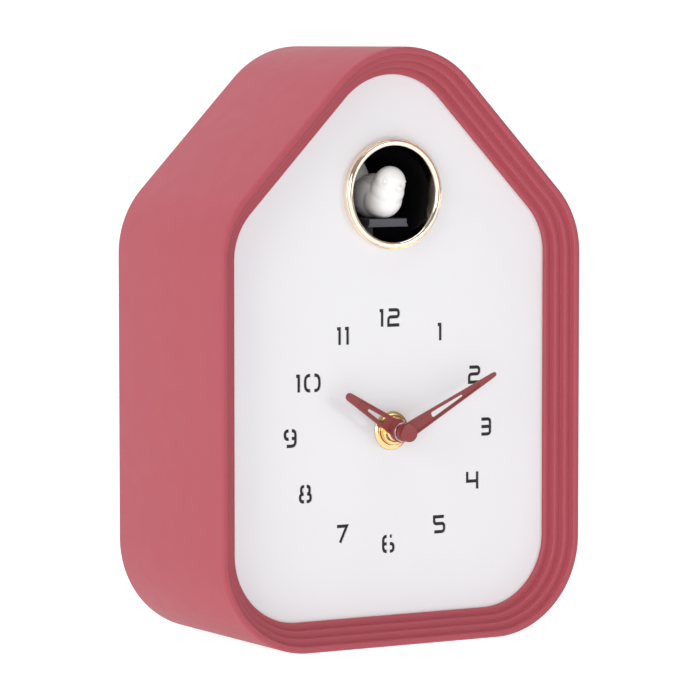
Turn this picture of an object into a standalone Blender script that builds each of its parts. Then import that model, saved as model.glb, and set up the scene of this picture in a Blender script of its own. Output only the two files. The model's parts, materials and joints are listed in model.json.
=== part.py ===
"""House-shaped cuckoo clock: a moulded case with a stepped bezel, a pierced
dial, two hands on a quartz movement, and a bird that a small motor pushes out
through a round window.

Frame: X to the right of someone facing the dial, Y from the dial to the back,
Z up; the origin is the middle of the flat base. Helpers take millimetres, and
"depth" is the distance behind the plane of the front rim.
"""
import math

import bmesh
import bpy
from mathutils import Vector

MM = 0.001

# ---- driving dimensions (mm) ----
WIDTH = 160.5
HEIGHT = 230.0
DEPTH = 84.0
EAVE_Z = 164.0                      # where wall and roof planes would meet
ROOF_SLOPE = math.radians(46.23)    # from horizontal
BASE_RADIUS = 38.0
EAVE_RADIUS = 36.0
WALL = 2.5
GAP = 0.3                           # air between touching pieces

BEZEL_STEPS = 4
BEZEL_STEP_WIDTH = 2.65
BEZEL_STEP_DEPTHS = (0.0, 3.0, 6.0, 9.1)
BEZEL_WIDTH = BEZEL_STEPS * BEZEL_STEP_WIDTH

DIAL_DEPTH = 11.0
DIAL_THICK = 0.5
DIAL_LAP = 1.9                      # how far the dial runs under the bezel
BACKING_THICK = 1.8

HANDS_Z = 82.3                      # height of the hands' axis
NUMERAL_RADIUS = 43.6
NUMERAL_HEIGHT = 7.2
NUMERAL_STROKE = 1.2
NUMERAL_WIDTH = 5.9

WINDOW_Z = 173.5
RING_OUTER = 21.3
RING_INNER = 18.4
WINDOW_RADIUS = 19.8
CHAMBER_RADIUS = 19.0
CHAMBER_WALL = 1.5
CHAMBER_BACK = 58.0
BIRD_TRAVEL = 12.0

BACK_RECESS = 5.0                   # rear cover's outer face inside the rim
COVER_THICK = 2.5

# ---- depths and radii worked out from them ----
APEX_Z = EAVE_Z + WIDTH / 2 * math.tan(ROOF_SLOPE)
APEX_HALF_ANGLE = math.pi / 2 - ROOF_SLOPE
APEX_RADIUS = (APEX_Z - HEIGHT) / (1 / math.sin(APEX_HALF_ANGLE) - 1)
DIAL_BACK = DIAL_DEPTH + DIAL_THICK
BACKING_FRONT = DIAL_BACK + GAP
BACKING_BACK = BACKING_FRONT + BACKING_THICK
BEHIND_DIAL = BACKING_BACK + GAP
COVER_BACK = DEPTH - BACK_RECESS
COVER_FRONT = COVER_BACK - COVER_THICK

# ---- quartz movement ----
MOVEMENT_SIZE = 56.0
MOVEMENT_WALL = 1.5
MOVEMENT_FRONT = BEHIND_DIAL + GAP
MOVEMENT_BACK = MOVEMENT_FRONT + 16.1
MOVEMENT_SPLIT = MOVEMENT_FRONT + 8.0
TUBE_OUTER = 2.5                    # hour tube
TUBE_INNER = 1.9
ARBOR_RADIUS = 1.6                  # minute arbor
BUSH_OUTER = 4.0
BUSH_INNER = TUBE_OUTER + GAP
MOTION_DISTANCE = 6.25              # centre shaft to minute wheel
MINUTE_MODULE = 2 * MOTION_DISTANCE / (12 + 36)
HOUR_MODULE = 2 * MOTION_DISTANCE / (10 + 40)
SETTING_DISTANCE = MINUTE_MODULE * (36 + 10) / 2
SETTING_X = MOTION_DISTANCE + SETTING_DISTANCE
TRAIN_MODULE = 0.2
MINUTE_ANGLE = math.radians(90 - 62.7)
HOUR_ANGLE = math.radians(90 + 57.9)

FLAT_TIP_MODULE = 0.45

# ---- bird drive ----
RACK_MODULE = 0.6
RACK_PITCH_Z = 146.0
DRIVE_PINION_TEETH = 12
DRIVE_WHEEL_TEETH = 36
MOTOR_TEETH = 9
DRIVE_MODULE = 0.5
DRIVE_DEPTH = 36.0
DRIVE_Z = RACK_PITCH_Z - RACK_MODULE * DRIVE_PINION_TEETH / 2
MOTOR_DISTANCE = DRIVE_MODULE * (DRIVE_WHEEL_TEETH + MOTOR_TEETH) / 2
MOTOR_ANGLE = math.radians(-60)
MOTOR_DEPTH = DRIVE_DEPTH + MOTOR_DISTANCE * math.cos(MOTOR_ANGLE)
MOTOR_Z = DRIVE_Z + MOTOR_DISTANCE * math.sin(MOTOR_ANGLE)

# ---- back of the clock ----
CELL_RADIUS = 7.1
CELL_LENGTH = 48.5
CELL_PITCH = 15.7
CELL_DEPTH = 68.6
CELL_LOW_Z = 19.2
SPRING_END = 0.8                    # wire radius and air at a spring's ends
POCKET_HALF = 24.2
POCKET_LOW_Z = 14.4
POCKET_HIGH_Z = 70.0
POCKET_FRONT = 60.6
SPEAKER_Z = 130.0
CONTROLS_Z = 98.0
VOLUME_X = -24.0
BUTTON_X = 30.0
KEYHOLE_Z = 197.0
DOOR_DEPTH = COVER_BACK + GAP
DOOR_THICK = 1.5


# ---------------------------------------------------------------- helpers
def world(axis, u, v, w):
    """Millimetres to a world point: an outline's u, v and the place w along
    the axis it is extruded on."""
    if axis == "Y":
        x, depth, z = u, w, v
    elif axis == "X":
        x, depth, z = w, u, v
    else:
        x, depth, z = u, v, w
    return Vector((x * MM, (depth - DEPTH / 2) * MM, z * MM))


def make_collection(name):
    collection = bpy.data.collections.new(name)
    bpy.context.scene.collection.children.link(collection)
    return collection


def make_material(name, colour, roughness, metallic=0.0):
    material = bpy.data.materials.new(name)
    material.use_nodes = True
    shader = material.node_tree.nodes["Principled BSDF"]
    shader.inputs["Base Color"].default_value = (*colour, 1.0)
    shader.inputs["Roughness"].default_value = roughness
    shader.inputs["Metallic"].default_value = metallic
    return material


def add_object(name, mesh, material, origin=None):
    """Link a mesh given in world metres, with its origin moved to a point."""
    obj = bpy.data.objects.new(name, mesh)
    if origin is not None:
        for vertex in mesh.vertices:
            vertex.co -= origin
        obj.location = origin
    if material is None:
        obj.hide_render = True
        obj.display_type = "WIRE"
        CUTTERS.objects.link(obj)
    else:
        mesh.materials.append(material)
        PARTS.objects.link(obj)
    return obj


def from_bmesh(name, bm, material, origin=None):
    bmesh.ops.recalc_face_normals(bm, faces=bm.faces)
    mesh = bpy.data.meshes.new(name)
    bm.to_mesh(mesh)
    bm.free()
    return add_object(name, mesh, material, origin)


def add_prism(bm, outline, low, high, axis="Y"):
    """A flat outline extruded from low to high, as one face and its extrusion."""
    ring = [bm.verts.new(world(axis, u, v, low)) for u, v in outline]
    cap = bm.faces.new(ring)
    grown = bmesh.ops.extrude_face_region(bm, geom=[cap])
    moved = [item for item in grown["geom"] if isinstance(item, bmesh.types.BMVert)]
    step = world(axis, 0, 0, high) - world(axis, 0, 0, low)
    bmesh.ops.translate(bm, verts=moved, vec=step)


def prism(name, outline, low, high, material=None, axis="Y", origin=None):
    bm = bmesh.new()
    add_prism(bm, outline, low, high, axis)
    return from_bmesh(name, bm, material, origin)


def prisms(name, outlines, low, high, axis="Y"):
    """One cutter made of many separate prisms."""
    bm = bmesh.new()
    for outline in outlines:
        add_prism(bm, outline, low, high, axis)
    return from_bmesh(name, bm, None)


def box(name, x, depth, z, material=None, origin=None):
    """A box from three (low, high) ranges."""
    low = world("Y", x[0], z[0], depth[0])
    high = world("Y", x[1], z[1], depth[1])
    bm = bmesh.new()
    bmesh.ops.create_cube(bm, size=1.0)
    bmesh.ops.scale(bm, verts=bm.verts, vec=high - low)
    bmesh.ops.translate(bm, verts=bm.verts, vec=(low + high) / 2)
    return from_bmesh(name, bm, material, origin)


def turned(name, profile, centre, material=None, axis="Y", steps=32, closed=False):
    """A (radius, place along the axis) profile spun round an axis through
    centre. An open profile starts and ends on the axis; a closed one is a
    ring's section."""
    area = 0.0
    for (r0, h0), (r1, h1) in zip(profile, profile[1:] + profile[:1]):
        area += r0 * h1 - r1 * h0
    points = list(reversed(profile)) if area > 0 else list(profile)
    base = points[0][1]
    mesh = bpy.data.meshes.new(name)
    edges = [(i, i + 1) for i in range(len(points) - 1)]
    if closed:
        edges.append((len(points) - 1, 0))
    mesh.from_pydata([(r * MM, 0.0, (h - base) * MM) for r, h in points], edges, [])
    obj = add_object(name, mesh, material)
    obj.location = world(axis, centre[0], centre[1], base)
    if axis == "Y":
        obj.rotation_euler = (-math.pi / 2, 0.0, 0.0)
    elif axis == "X":
        obj.rotation_euler = (0.0, math.pi / 2, 0.0)
    screw = obj.modifiers.new("turn", "SCREW")
    screw.steps = steps
    screw.render_steps = steps
    screw.use_merge_vertices = True
    screw.merge_threshold = 0.000001
    return obj


def rod(name, centre, low, high, radius, material=None, axis="Y", steps=16):
    profile = [(0.0, low), (radius, low), (radius, high), (0.0, high)]
    return turned(name, profile, centre, material, axis, steps)


def tube(name, centre, low, high, inner, outer, material=None, axis="Y", steps=32):
    profile = [(inner, low), (outer, low), (outer, high), (inner, high)]
    return turned(name, profile, centre, material, axis, steps, closed=True)


def boolean(target, tool, operation="DIFFERENCE"):
    modifier = target.modifiers.new(operation.lower(), "BOOLEAN")
    modifier.operation = operation
    modifier.solver = "EXACT"
    modifier.object = tool
    return target


def cut(target, *tools):
    for tool in tools:
        boolean(target, tool)
    return target


def join(target, *tools):
    for tool in tools:
        boolean(target, tool, "UNION")
    return target


def smooth(obj, angle=35):
    """Smooth shading with sharp edges kept, for round pieces."""
    obj.data.shade_smooth()
    modifier = obj.modifiers.new("even normals", "WEIGHTED_NORMAL")
    modifier.keep_sharp = True
    obj.data.set_sharp_from_angle(angle=math.radians(angle))
    return obj


def wire(name, points, radius, material):
    """A thin lead through (x, depth, z) points, smoothed between them."""
    fine = []
    extended = [points[0]] + list(points) + [points[-1]]
    for a, b, c, d in zip(extended, extended[1:], extended[2:], extended[3:]):
        for i in range(4):
            t = i / 4
            fine.append([
                0.5 * (2 * q + (r - p) * t + (2 * p - 5 * q + 4 * r - s) * t ** 2
                       + (3 * q - p - 3 * r + s) * t ** 3)
                for p, q, r, s in zip(a, b, c, d)])
    fine.append(points[-1])
    curve = bpy.data.curves.new(name, "CURVE")
    curve.dimensions = "3D"
    curve.bevel_depth = radius * MM
    curve.bevel_resolution = 1
    curve.use_fill_caps = True
    spline = curve.splines.new("POLY")
    spline.points.add(len(fine) - 1)
    for point, (x, depth, z) in zip(spline.points, fine):
        point.co = (*world("Y", x, z, depth), 1.0)
    obj = bpy.data.objects.new(name, curve)
    curve.materials.append(material)
    PARTS.objects.link(obj)
    return obj


# ---------------------------------------------------------------- outlines
def arc(centre, radius, start, end, steps):
    return [(centre[0] + radius * math.cos(start + (end - start) * i / steps),
             centre[1] + radius * math.sin(start + (end - start) * i / steps))
            for i in range(steps + 1)]


def circle(centre, radius, steps):
    return arc(centre, radius, 0.0, math.tau, steps)[:-1]


def rectangle(x, z):
    return [(x[0], z[0]), (x[1], z[0]), (x[1], z[1]), (x[0], z[1])]


def house_corners():
    """Fillet centre, radius, and the outward directions of the two sides that
    meet there, anticlockwise from the lower left."""
    half = WIDTH / 2
    lean = math.pi / 2 - ROOF_SLOPE
    eave_in = EAVE_RADIUS * math.tan(lean / 2)
    apex_z = APEX_Z - APEX_RADIUS / math.sin(APEX_HALF_ANGLE)
    down, right, left = -math.pi / 2, 0.0, math.pi
    roof_right = math.pi / 2 - ROOF_SLOPE
    roof_left = math.pi / 2 + ROOF_SLOPE
    return [
        ((-half + BASE_RADIUS, BASE_RADIUS), BASE_RADIUS, -math.pi, down),
        ((half - BASE_RADIUS, BASE_RADIUS), BASE_RADIUS, down, right),
        ((half - EAVE_RADIUS, EAVE_Z - eave_in), EAVE_RADIUS, right, roof_right),
        ((0.0, apex_z), APEX_RADIUS, roof_right, roof_left),
        ((-half + EAVE_RADIUS, EAVE_Z - eave_in), EAVE_RADIUS, roof_left, left),
    ]


def house_outline(inset, steps=6):
    points = []
    for centre, radius, start, end in house_corners():
        points += arc(centre, radius - inset, start, end, steps)
    return points


def boss_places():
    """Centres of the four cover screws, in the base and eave corners."""
    reach = 6.4
    places = []
    for index in (0, 1, 2, 4):
        centre, radius, start, end = house_corners()[index]
        middle = (start + end) / 2
        places.append((centre[0] + (radius - reach) * math.cos(middle),
                       centre[1] + (radius - reach) * math.sin(middle)))
    return places


def gear_outline(centre, teeth, module, tooth_at):
    """A toothed wheel's outline; one tooth points along the angle tooth_at.
    Fine clock teeth are pointed, coarser ones have flat tips."""
    pitch = math.tau / teeth
    root = module * (teeth / 2 - 1.2)
    tip = module * (teeth / 2 + 0.8)
    flank = [(root, -0.30), (tip, -0.11), (tip, 0.11), (root, 0.30)]
    if module < FLAT_TIP_MODULE:
        flank = [(root, -0.5), (tip, 0.0)]
    points = []
    for tooth in range(teeth):
        middle = tooth_at + tooth * pitch
        for radius, share in flank:
            angle = middle + share * pitch
            points.append((centre[0] + radius * math.cos(angle),
                           centre[1] + radius * math.sin(angle)))
    return points


def rounded_path(points, radius, steps=2):
    """A polyline with each inner corner replaced by a curve that starts and
    ends a radius away from it."""
    points = [Vector(point) for point in points]
    if not radius:
        return points
    path = [points[0]]
    last = len(points) - 2
    for i, corner in enumerate(points[1:-1], 1):
        back, ahead = points[i - 1] - corner, points[i + 1] - corner
        reach_back = min(radius, back.length * (0.8 if i == 1 else 0.42))
        reach_ahead = min(radius, ahead.length * (0.8 if i == last else 0.42))
        start = corner + back.normalized() * reach_back
        end = corner + ahead.normalized() * reach_ahead
        for step in range(steps + 1):
            t = step / steps
            path.append(start.lerp(corner, t).lerp(corner.lerp(end, t), t))
    path.append(points[-1])
    return path


def ribbon(path, width):
    """The outline of a stroke of even width along a path."""
    left, right = [], []
    for i, point in enumerate(path):
        before = (point - path[i - 1]).normalized() if i else None
        after = (path[i + 1] - point).normalized() if i + 1 < len(path) else None
        along = ((before or after) + (after or before)).normalized()
        stretch = 1 / max(0.5, along.dot(after or before))
        across = Vector((-along.y, along.x)) * width / 2 * stretch
        left.append(tuple(point + across))
        right.append(tuple(point - across))
    return left + right[::-1]


# Strokes of each stencil digit in a cell one unit wide and high, each with the
# reach of its rounded corners.
SQUARE, SOFT, ROUND, FULL = 0.0, 1.25, 1.8, 3.0
LEFT_HOOK = [(0.37, 1), (0, 1), (0, 0), (0.37, 0)]
RIGHT_HOOK = [(0.63, 1), (1, 1), (1, 0), (0.63, 0)]
DIGITS = {
    "0": [(LEFT_HOOK, FULL), (RIGHT_HOOK, FULL)],
    "1": [([(-0.7, 0.98), (1, 0.98), (1, -0.08)], SQUARE)],
    "2": [([(0, 1), (1, 1), (1, 0.54), (0, 0.54), (0, 0.27)], SOFT),
          ([(0, 0.30), (0, 0), (1.1, 0)], SQUARE)],
    "3": [([(0, 1), (1, 1), (1, 0), (0, 0)], SOFT), ([(0, 0.5), (0.97, 0.5)], SQUARE)],
    "4": [([(0, 1.08), (0, 0.45), (1, 0.45)], SQUARE),
          ([(1, 1.08), (1, -0.08)], SQUARE)],
    "5": [([(1, 1), (0, 1), (0, 0.75)], SQUARE),
          ([(0, 0.78), (0, 0.54), (1, 0.54), (1, 0), (0, 0)], SOFT)],
    "6": [(LEFT_HOOK, ROUND), ([(0, 0.5), (0.37, 0.5)], SQUARE),
          ([(0.63, 1), (0.87, 1)], SQUARE),
          ([(0.63, 0.5), (1, 0.5), (1, 0), (0.63, 0)], ROUND)],
    "7": [([(0, 1), (0.98, 1), (0.32, -0.08)], SQUARE)],
    "8": [([(0.4, 1), (0.1, 1), (0.1, 0.5), (0.36, 0.5)], ROUND),
          ([(0.36, 0.5), (0, 0.5), (0, 0), (0.4, 0)], ROUND),
          ([(0.6, 1), (0.9, 1), (0.9, 0.5), (0.64, 0.5)], ROUND),
          ([(0.64, 0.5), (1, 0.5), (1, 0), (0.6, 0)], ROUND)],
    "9": [([(0.37, 1), (0, 1), (0, 0.46), (0.37, 0.46)], ROUND),
          ([(0.63, 1), (1, 1), (1, 0), (0.14, 0)], ROUND),
          ([(0.63, 0.5), (1, 0.5)], SQUARE)],
}
DIGIT_WIDTHS = {"0": 7.6, "1": 2.05, "3": 5.4}
DIGIT_SPACING = 1.5
# The numerals don't stand quite evenly: how far each is right of and above its
# place on the circle.
NUMERAL_SHIFTS = {1: (0.3, -0.4), 2: (0.3, -1.8), 3: (-0.2, -0.6), 4: (-0.5, 0.4),
                  5: (0.3, 0.0), 6: (-1.0, -0.4), 7: (0.0, -1.1), 8: (-0.2, -0.8),
                  9: (-1.0, -1.0), 10: (1.1, -2.0), 11: (0.4, -0.5), 12: (-0.5, 0.0)}


def numeral_outlines():
    """Every stroke of the twelve numerals, upright on their circle, in two
    sets so that no stroke overlaps another of its set."""
    cell_high = NUMERAL_HEIGHT - NUMERAL_STROKE
    outlines = ([], [])
    for hour in range(1, 13):
        angle = math.radians(90 - 30 * hour)
        widths = [DIGIT_WIDTHS.get(digit, NUMERAL_WIDTH) for digit in str(hour)]
        total = sum(widths) + DIGIT_SPACING * (len(widths) - 1)
        right, up = NUMERAL_SHIFTS[hour]
        left = NUMERAL_RADIUS * math.cos(angle) - total / 2 + right
        foot = HANDS_Z + NUMERAL_RADIUS * math.sin(angle) - cell_high / 2 + up
        for digit, width in zip(str(hour), widths):
            cell_wide = width - NUMERAL_STROKE
            start = left + NUMERAL_STROKE / 2
            for number, (stroke, corner) in enumerate(DIGITS[digit]):
                points = [(start + a * cell_wide, foot + b * cell_high) for a, b in stroke]
                path = rounded_path(points, corner)
                outlines[number % 2].append(ribbon(path, NUMERAL_STROKE))
            left += width + DIGIT_SPACING
    return outlines


# ---------------------------------------------------------------- case and dial
def build_case(plastic):
    shell = prism("case_shell", house_outline(0), 0.0, DEPTH, plastic)
    lip_back = DIAL_DEPTH - GAP
    cutters = [prism("cut_inside", house_outline(WALL), lip_back, DEPTH + 1)]
    for step in range(1, BEZEL_STEPS):
        cutters.append(prism(f"cut_step_{step}", house_outline(step * BEZEL_STEP_WIDTH),
                             -1.0, BEZEL_STEP_DEPTHS[step]))
    cutters.append(prism("cut_dial_opening", house_outline(BEZEL_WIDTH), -1.0, DIAL_DEPTH))
    cut(shell, *cutters)
    # screw bosses grow out of the corners and stop short of the rear cover
    for number, place in enumerate(boss_places(), 1):
        post = rod(f"add_boss_{number}", place, BEHIND_DIAL + 1.2, COVER_FRONT - GAP, 4.3,
                   steps=14)
        hole = rod(f"cut_boss_{number}", place, COVER_FRONT - 15, COVER_FRONT + 1, 1.7)
        join(shell, post)
        cut(shell, hole)
    return shell


def build_dial(white, black, gold):
    edge = BEZEL_WIDTH - DIAL_LAP
    plate = prism("dial_plate", house_outline(edge), DIAL_DEPTH, DIAL_BACK, white)
    window = rod("cut_window", (0, WINDOW_Z), DIAL_DEPTH - 1, BEHIND_DIAL, WINDOW_RADIUS,
                 steps=48)
    bush_hole = rod("cut_bush_hole", (0, HANDS_Z), DIAL_DEPTH - 1, BEHIND_DIAL,
                    BUSH_OUTER + GAP, steps=24)
    cut(plate, window, bush_hole)
    for number, strokes in enumerate(numeral_outlines(), 1):
        cut(plate, prisms(f"cut_numerals_{number}", strokes, DIAL_DEPTH - 1, DIAL_BACK + 1))
    backing = prism("dial_backing", house_outline(edge), BACKING_FRONT, BACKING_BACK, black)
    cut(backing, window, bush_hole)
    ring_front = DIAL_DEPTH - 3.5
    seat = DIAL_DEPTH - GAP
    turned("window_ring",
           [(RING_OUTER, seat), (RING_OUTER, ring_front + 0.8), (RING_OUTER - 0.8, ring_front),
            (RING_INNER + 0.7, ring_front), (RING_INNER, ring_front + 0.8),
            (RING_INNER, BACKING_BACK), (RING_INNER + 0.9, BACKING_BACK), (RING_INNER + 0.9, seat)],
           (0, WINDOW_Z), gold, steps=36, closed=True)


# ---------------------------------------------------------------- bird and its drive
def build_chamber(gloss_black):
    outer = CHAMBER_RADIUS + CHAMBER_WALL
    cup = turned("bird_chamber",
                 [(0, CHAMBER_BACK), (outer, CHAMBER_BACK), (outer, BEHIND_DIAL),
                  (CHAMBER_RADIUS, BEHIND_DIAL), (CHAMBER_RADIUS, CHAMBER_BACK - CHAMBER_WALL),
                  (0, CHAMBER_BACK - CHAMBER_WALL)],
                 (0, WINDOW_Z), gloss_black, steps=40)
    slot = box("cut_chamber_slot", (-2.5, 2.5), (BEHIND_DIAL + 1.0, 46.2),
               (WINDOW_Z - outer - 1, WINDOW_Z - CHAMBER_RADIUS + 3))
    return cut(cup, slot)


def ellipsoid(name, centre, radii, tilt, material=None, segments=16, rings=10):
    """An ellipsoid at (x, depth, z), tilted about X."""
    bm = bmesh.new()
    bmesh.ops.create_uvsphere(bm, u_segments=segments, v_segments=rings, radius=1.0)
    mesh = bpy.data.meshes.new(name)
    bmesh.ops.scale(bm, verts=bm.verts, vec=[radius * MM for radius in radii])
    bmesh.ops.recalc_face_normals(bm, faces=bm.faces)
    bm.to_mesh(mesh)
    bm.free()
    obj = add_object(name, mesh, material)
    obj.location = world("Y", centre[0], centre[2], centre[1])
    obj.rotation_euler = (tilt, 0.0, 0.0)
    return obj


def build_bird(white, grey):
    bird = ellipsoid("bird", (0, 19.5, 172.6), (6.9, 14.2, 8.2), math.radians(-6), white)
    join(bird,
         ellipsoid("add_bird_head", (0, 10.6, 178.7), (5.4, 5.6, 5.6), 0.0),
         ellipsoid("add_bird_tail", (0, 34.5, 177.5), (3.4, 3.0, 9.2), math.radians(-25),
                   segments=16, rings=10))
    flat_under = box("cut_bird_base", (-9, 9), (0, 45), (155, 164.2))
    cut(bird, flat_under)
    smooth(bird, 60)

    # the carriage is a dovetail plate, a stem through the chamber's floor and a rack
    top, under = 8.45, 9.15
    plate = prism("bird_carriage",
                  [(-under, 160.7), (under, 160.7), (top, 163.9), (-top, 163.9)],
                  13.0, 45.0, grey)
    stem = box("add_stem", (-1.8, 1.8), (27.4, 45.4), (148.0, 161.2))
    pitch = math.pi * RACK_MODULE
    low, high = RACK_PITCH_Z - 0.8 * RACK_MODULE, RACK_PITCH_Z + 1.2 * RACK_MODULE
    teeth = 10
    first_gap = DRIVE_DEPTH - pitch
    start = first_gap + pitch / 2
    outline = [(start - 6.5, 150.6), (start - 6.5, high)]
    for tooth in range(teeth):
        middle = first_gap + (tooth + 0.5) * pitch
        outline += [(middle - 0.30 * pitch, high), (middle - 0.11 * pitch, low),
                    (middle + 0.11 * pitch, low), (middle + 0.30 * pitch, high)]
    end = first_gap + teeth * pitch + 0.5
    outline += [(end, high), (end, 150.6)]
    rack = prism("add_rack", outline, -2.0, 2.0, axis="X")
    join(plate, stem, rack)
    return bird


def build_drive(steel, nylon, motor_metal, bracket_plastic):
    side_z = (127.0, 151.6)
    bracket = box("mechanism_bracket", (-15, 15), (BEHIND_DIAL, BEHIND_DIAL + 1.5), (127, 150),
                  bracket_plastic)
    for side, (low, high) in {"left": (-7.2, -6.0), "right": (7.0, 8.2)}.items():
        join(bracket, box(f"add_cheek_{side}", (low, high), (BEHIND_DIAL + 0.5, 50.0), side_z))
    rack_gate = box("cut_rack_gate", (-3, 3), (BEHIND_DIAL - 1, BEHIND_DIAL + 3), (144, 152))
    wheel_gate = box("cut_wheel_gate", (2.9, 6.1), (BEHIND_DIAL - 1, BEHIND_DIAL + 3),
                     (131, 152))
    axle_hole = rod("cut_axle_hole", (DRIVE_DEPTH, DRIVE_Z), -9, 10, 1.3, axis="X")
    motor_hole = rod("cut_motor_hole", (MOTOR_DEPTH, MOTOR_Z), 4, 10, 3.4, axis="X", steps=20)
    cut(bracket, rack_gate, wheel_gate, axle_hole, motor_hole)
    rod("gear_axle", (DRIVE_DEPTH, DRIVE_Z), -8.2, 9.2, 1.0, steel, axis="X")

    place = (DRIVE_DEPTH, DRIVE_Z)
    pinion = prism("drive_gear", gear_outline(place, DRIVE_PINION_TEETH, RACK_MODULE, math.pi / 2),
                   -2.6, 3.6, nylon, axis="X", origin=world("X", *place, 0))
    wheel = prism("add_drive_wheel",
                  gear_outline(place, DRIVE_WHEEL_TEETH, DRIVE_MODULE, MOTOR_ANGLE),
                  3.4, 5.6, axis="X")
    join(pinion, wheel)
    cut(pinion, rod("cut_drive_bore", place, -4, 7, 1.3, axis="X"))

    place = (MOTOR_DEPTH, MOTOR_Z)
    tooth_at = MOTOR_ANGLE + math.pi + math.pi / MOTOR_TEETH
    small = prism("motor_pinion", gear_outline(place, MOTOR_TEETH, DRIVE_MODULE, tooth_at),
                  3.3, 5.7, nylon, axis="X", origin=world("X", *place, 0))
    cut(small, rod("cut_pinion_bore", place, 2, 7, 1.05, axis="X"))
    turned("bird_motor",
           [(0, 3.0), (0.75, 3.0), (0.75, 7.6), (3.0, 7.6), (3.0, 8.5), (7.6, 8.5), (7.6, 23.0),
            (6.9, 23.7), (2.4, 23.7), (2.4, 25.2), (0, 25.2)],
           place, motor_metal, axis="X", steps=28)


# ---------------------------------------------------------------- quartz movement
def train_places():
    """Arbor centres of the going train, as offsets from the hands' axis."""
    third_at, fourth_at, fifth_at = math.radians(135), math.radians(200), math.radians(270)
    third = (TRAIN_MODULE * 36 * math.cos(third_at), TRAIN_MODULE * 36 * math.sin(third_at))
    fourth = (third[0] + TRAIN_MODULE * 34 * math.cos(fourth_at),
              third[1] + TRAIN_MODULE * 34 * math.sin(fourth_at))
    fifth = (fourth[0], fourth[1] - TRAIN_MODULE * 28)
    rotor = (fifth[0], fifth[1] - TRAIN_MODULE * 24)
    angles = {"third": third_at, "fourth": fourth_at, "fifth": fifth_at, "rotor": fifth_at}
    return {"third": third, "fourth": fourth, "fifth": fifth, "rotor": rotor}, angles


def build_movement_case(dark_plastic, brass):
    half = MOVEMENT_SIZE / 2
    outer_x, outer_z = (-half, half), (HANDS_Z - half, HANDS_Z + half)
    inner_x = (-half + MOVEMENT_WALL, half - MOVEMENT_WALL)
    inner_z = (HANDS_Z - half + MOVEMENT_WALL, HANDS_Z + half - MOVEMENT_WALL)
    front = box("movement_front_case", outer_x, (MOVEMENT_FRONT, MOVEMENT_SPLIT), outer_z,
                dark_plastic)
    hollow = box("cut_movement_front", inner_x,
                 (MOVEMENT_FRONT + MOVEMENT_WALL, MOVEMENT_SPLIT + 1), inner_z)
    stud = rod("add_minute_stud", (MOTION_DISTANCE, HANDS_Z), MOVEMENT_FRONT + 1, 20.1, 0.55,
               steps=12)
    bush_hole = rod("cut_movement_bush", (0, HANDS_Z), MOVEMENT_FRONT - 1, MOVEMENT_FRONT + 3,
                    BUSH_OUTER + GAP, steps=24)
    cut(front, hollow, bush_hole)
    join(front, stud)

    rear = box("movement_rear_case", outer_x, (MOVEMENT_SPLIT + GAP, MOVEMENT_BACK), outer_z,
               dark_plastic)
    inner_back = MOVEMENT_BACK - MOVEMENT_WALL
    hollow = box("cut_movement_rear", inner_x, (MOVEMENT_SPLIT - 1, inner_back), inner_z)
    stem_hole = rod("cut_stem_hole", (SETTING_X, HANDS_Z), inner_back - 1, MOVEMENT_BACK + 1,
                    1.6)
    cut(rear, hollow, stem_hole)
    for name, (x, z) in train_places()[0].items():
        post = rod(f"add_bearing_{name}", (x, HANDS_Z + z), inner_back - 1.4, inner_back + 0.5,
                   1.5, steps=16)
        seat = rod(f"cut_bearing_{name}", (x, HANDS_Z + z), inner_back - 2, inner_back + 0.2,
                   0.75, steps=12)
        join(rear, post)
        cut(rear, seat)

    flange = MOVEMENT_FRONT + MOVEMENT_WALL + GAP
    turned("centre_bush",
           [(BUSH_INNER, flange + 1.0), (5.2, flange + 1.0), (5.2, flange), (BUSH_OUTER, flange),
            (BUSH_OUTER, 5.9), (BUSH_OUTER - 0.3, 5.5), (BUSH_INNER, 5.5)],
           (0, HANDS_Z), brass, steps=24, closed=True)
    bore = BUSH_OUTER + GAP
    turned("dial_washer",
           [(bore, 10.7), (7.4, 10.7), (7.4, 10.2), (6.9, 9.7), (5.9, 9.6), (bore, 9.9)],
           (0, HANDS_Z), brass, steps=28, closed=True)
    nut = turned("dial_nut",
                 [(bore, 9.3), (5.5, 9.3), (5.5, 7.6), (5.2, 7.2), (bore, 7.0)],
                 (0, HANDS_Z), brass, closed=True)
    for side in (-1, 1):
        middle = side * 5.1
        name = "left" if side < 0 else "right"
        cut(nut, box(f"cut_nut_slot_{name}", (middle - 0.7, middle + 0.7), (6.5, 8.3),
                     (HANDS_Z - 0.7, HANDS_Z + 0.7)))


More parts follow.
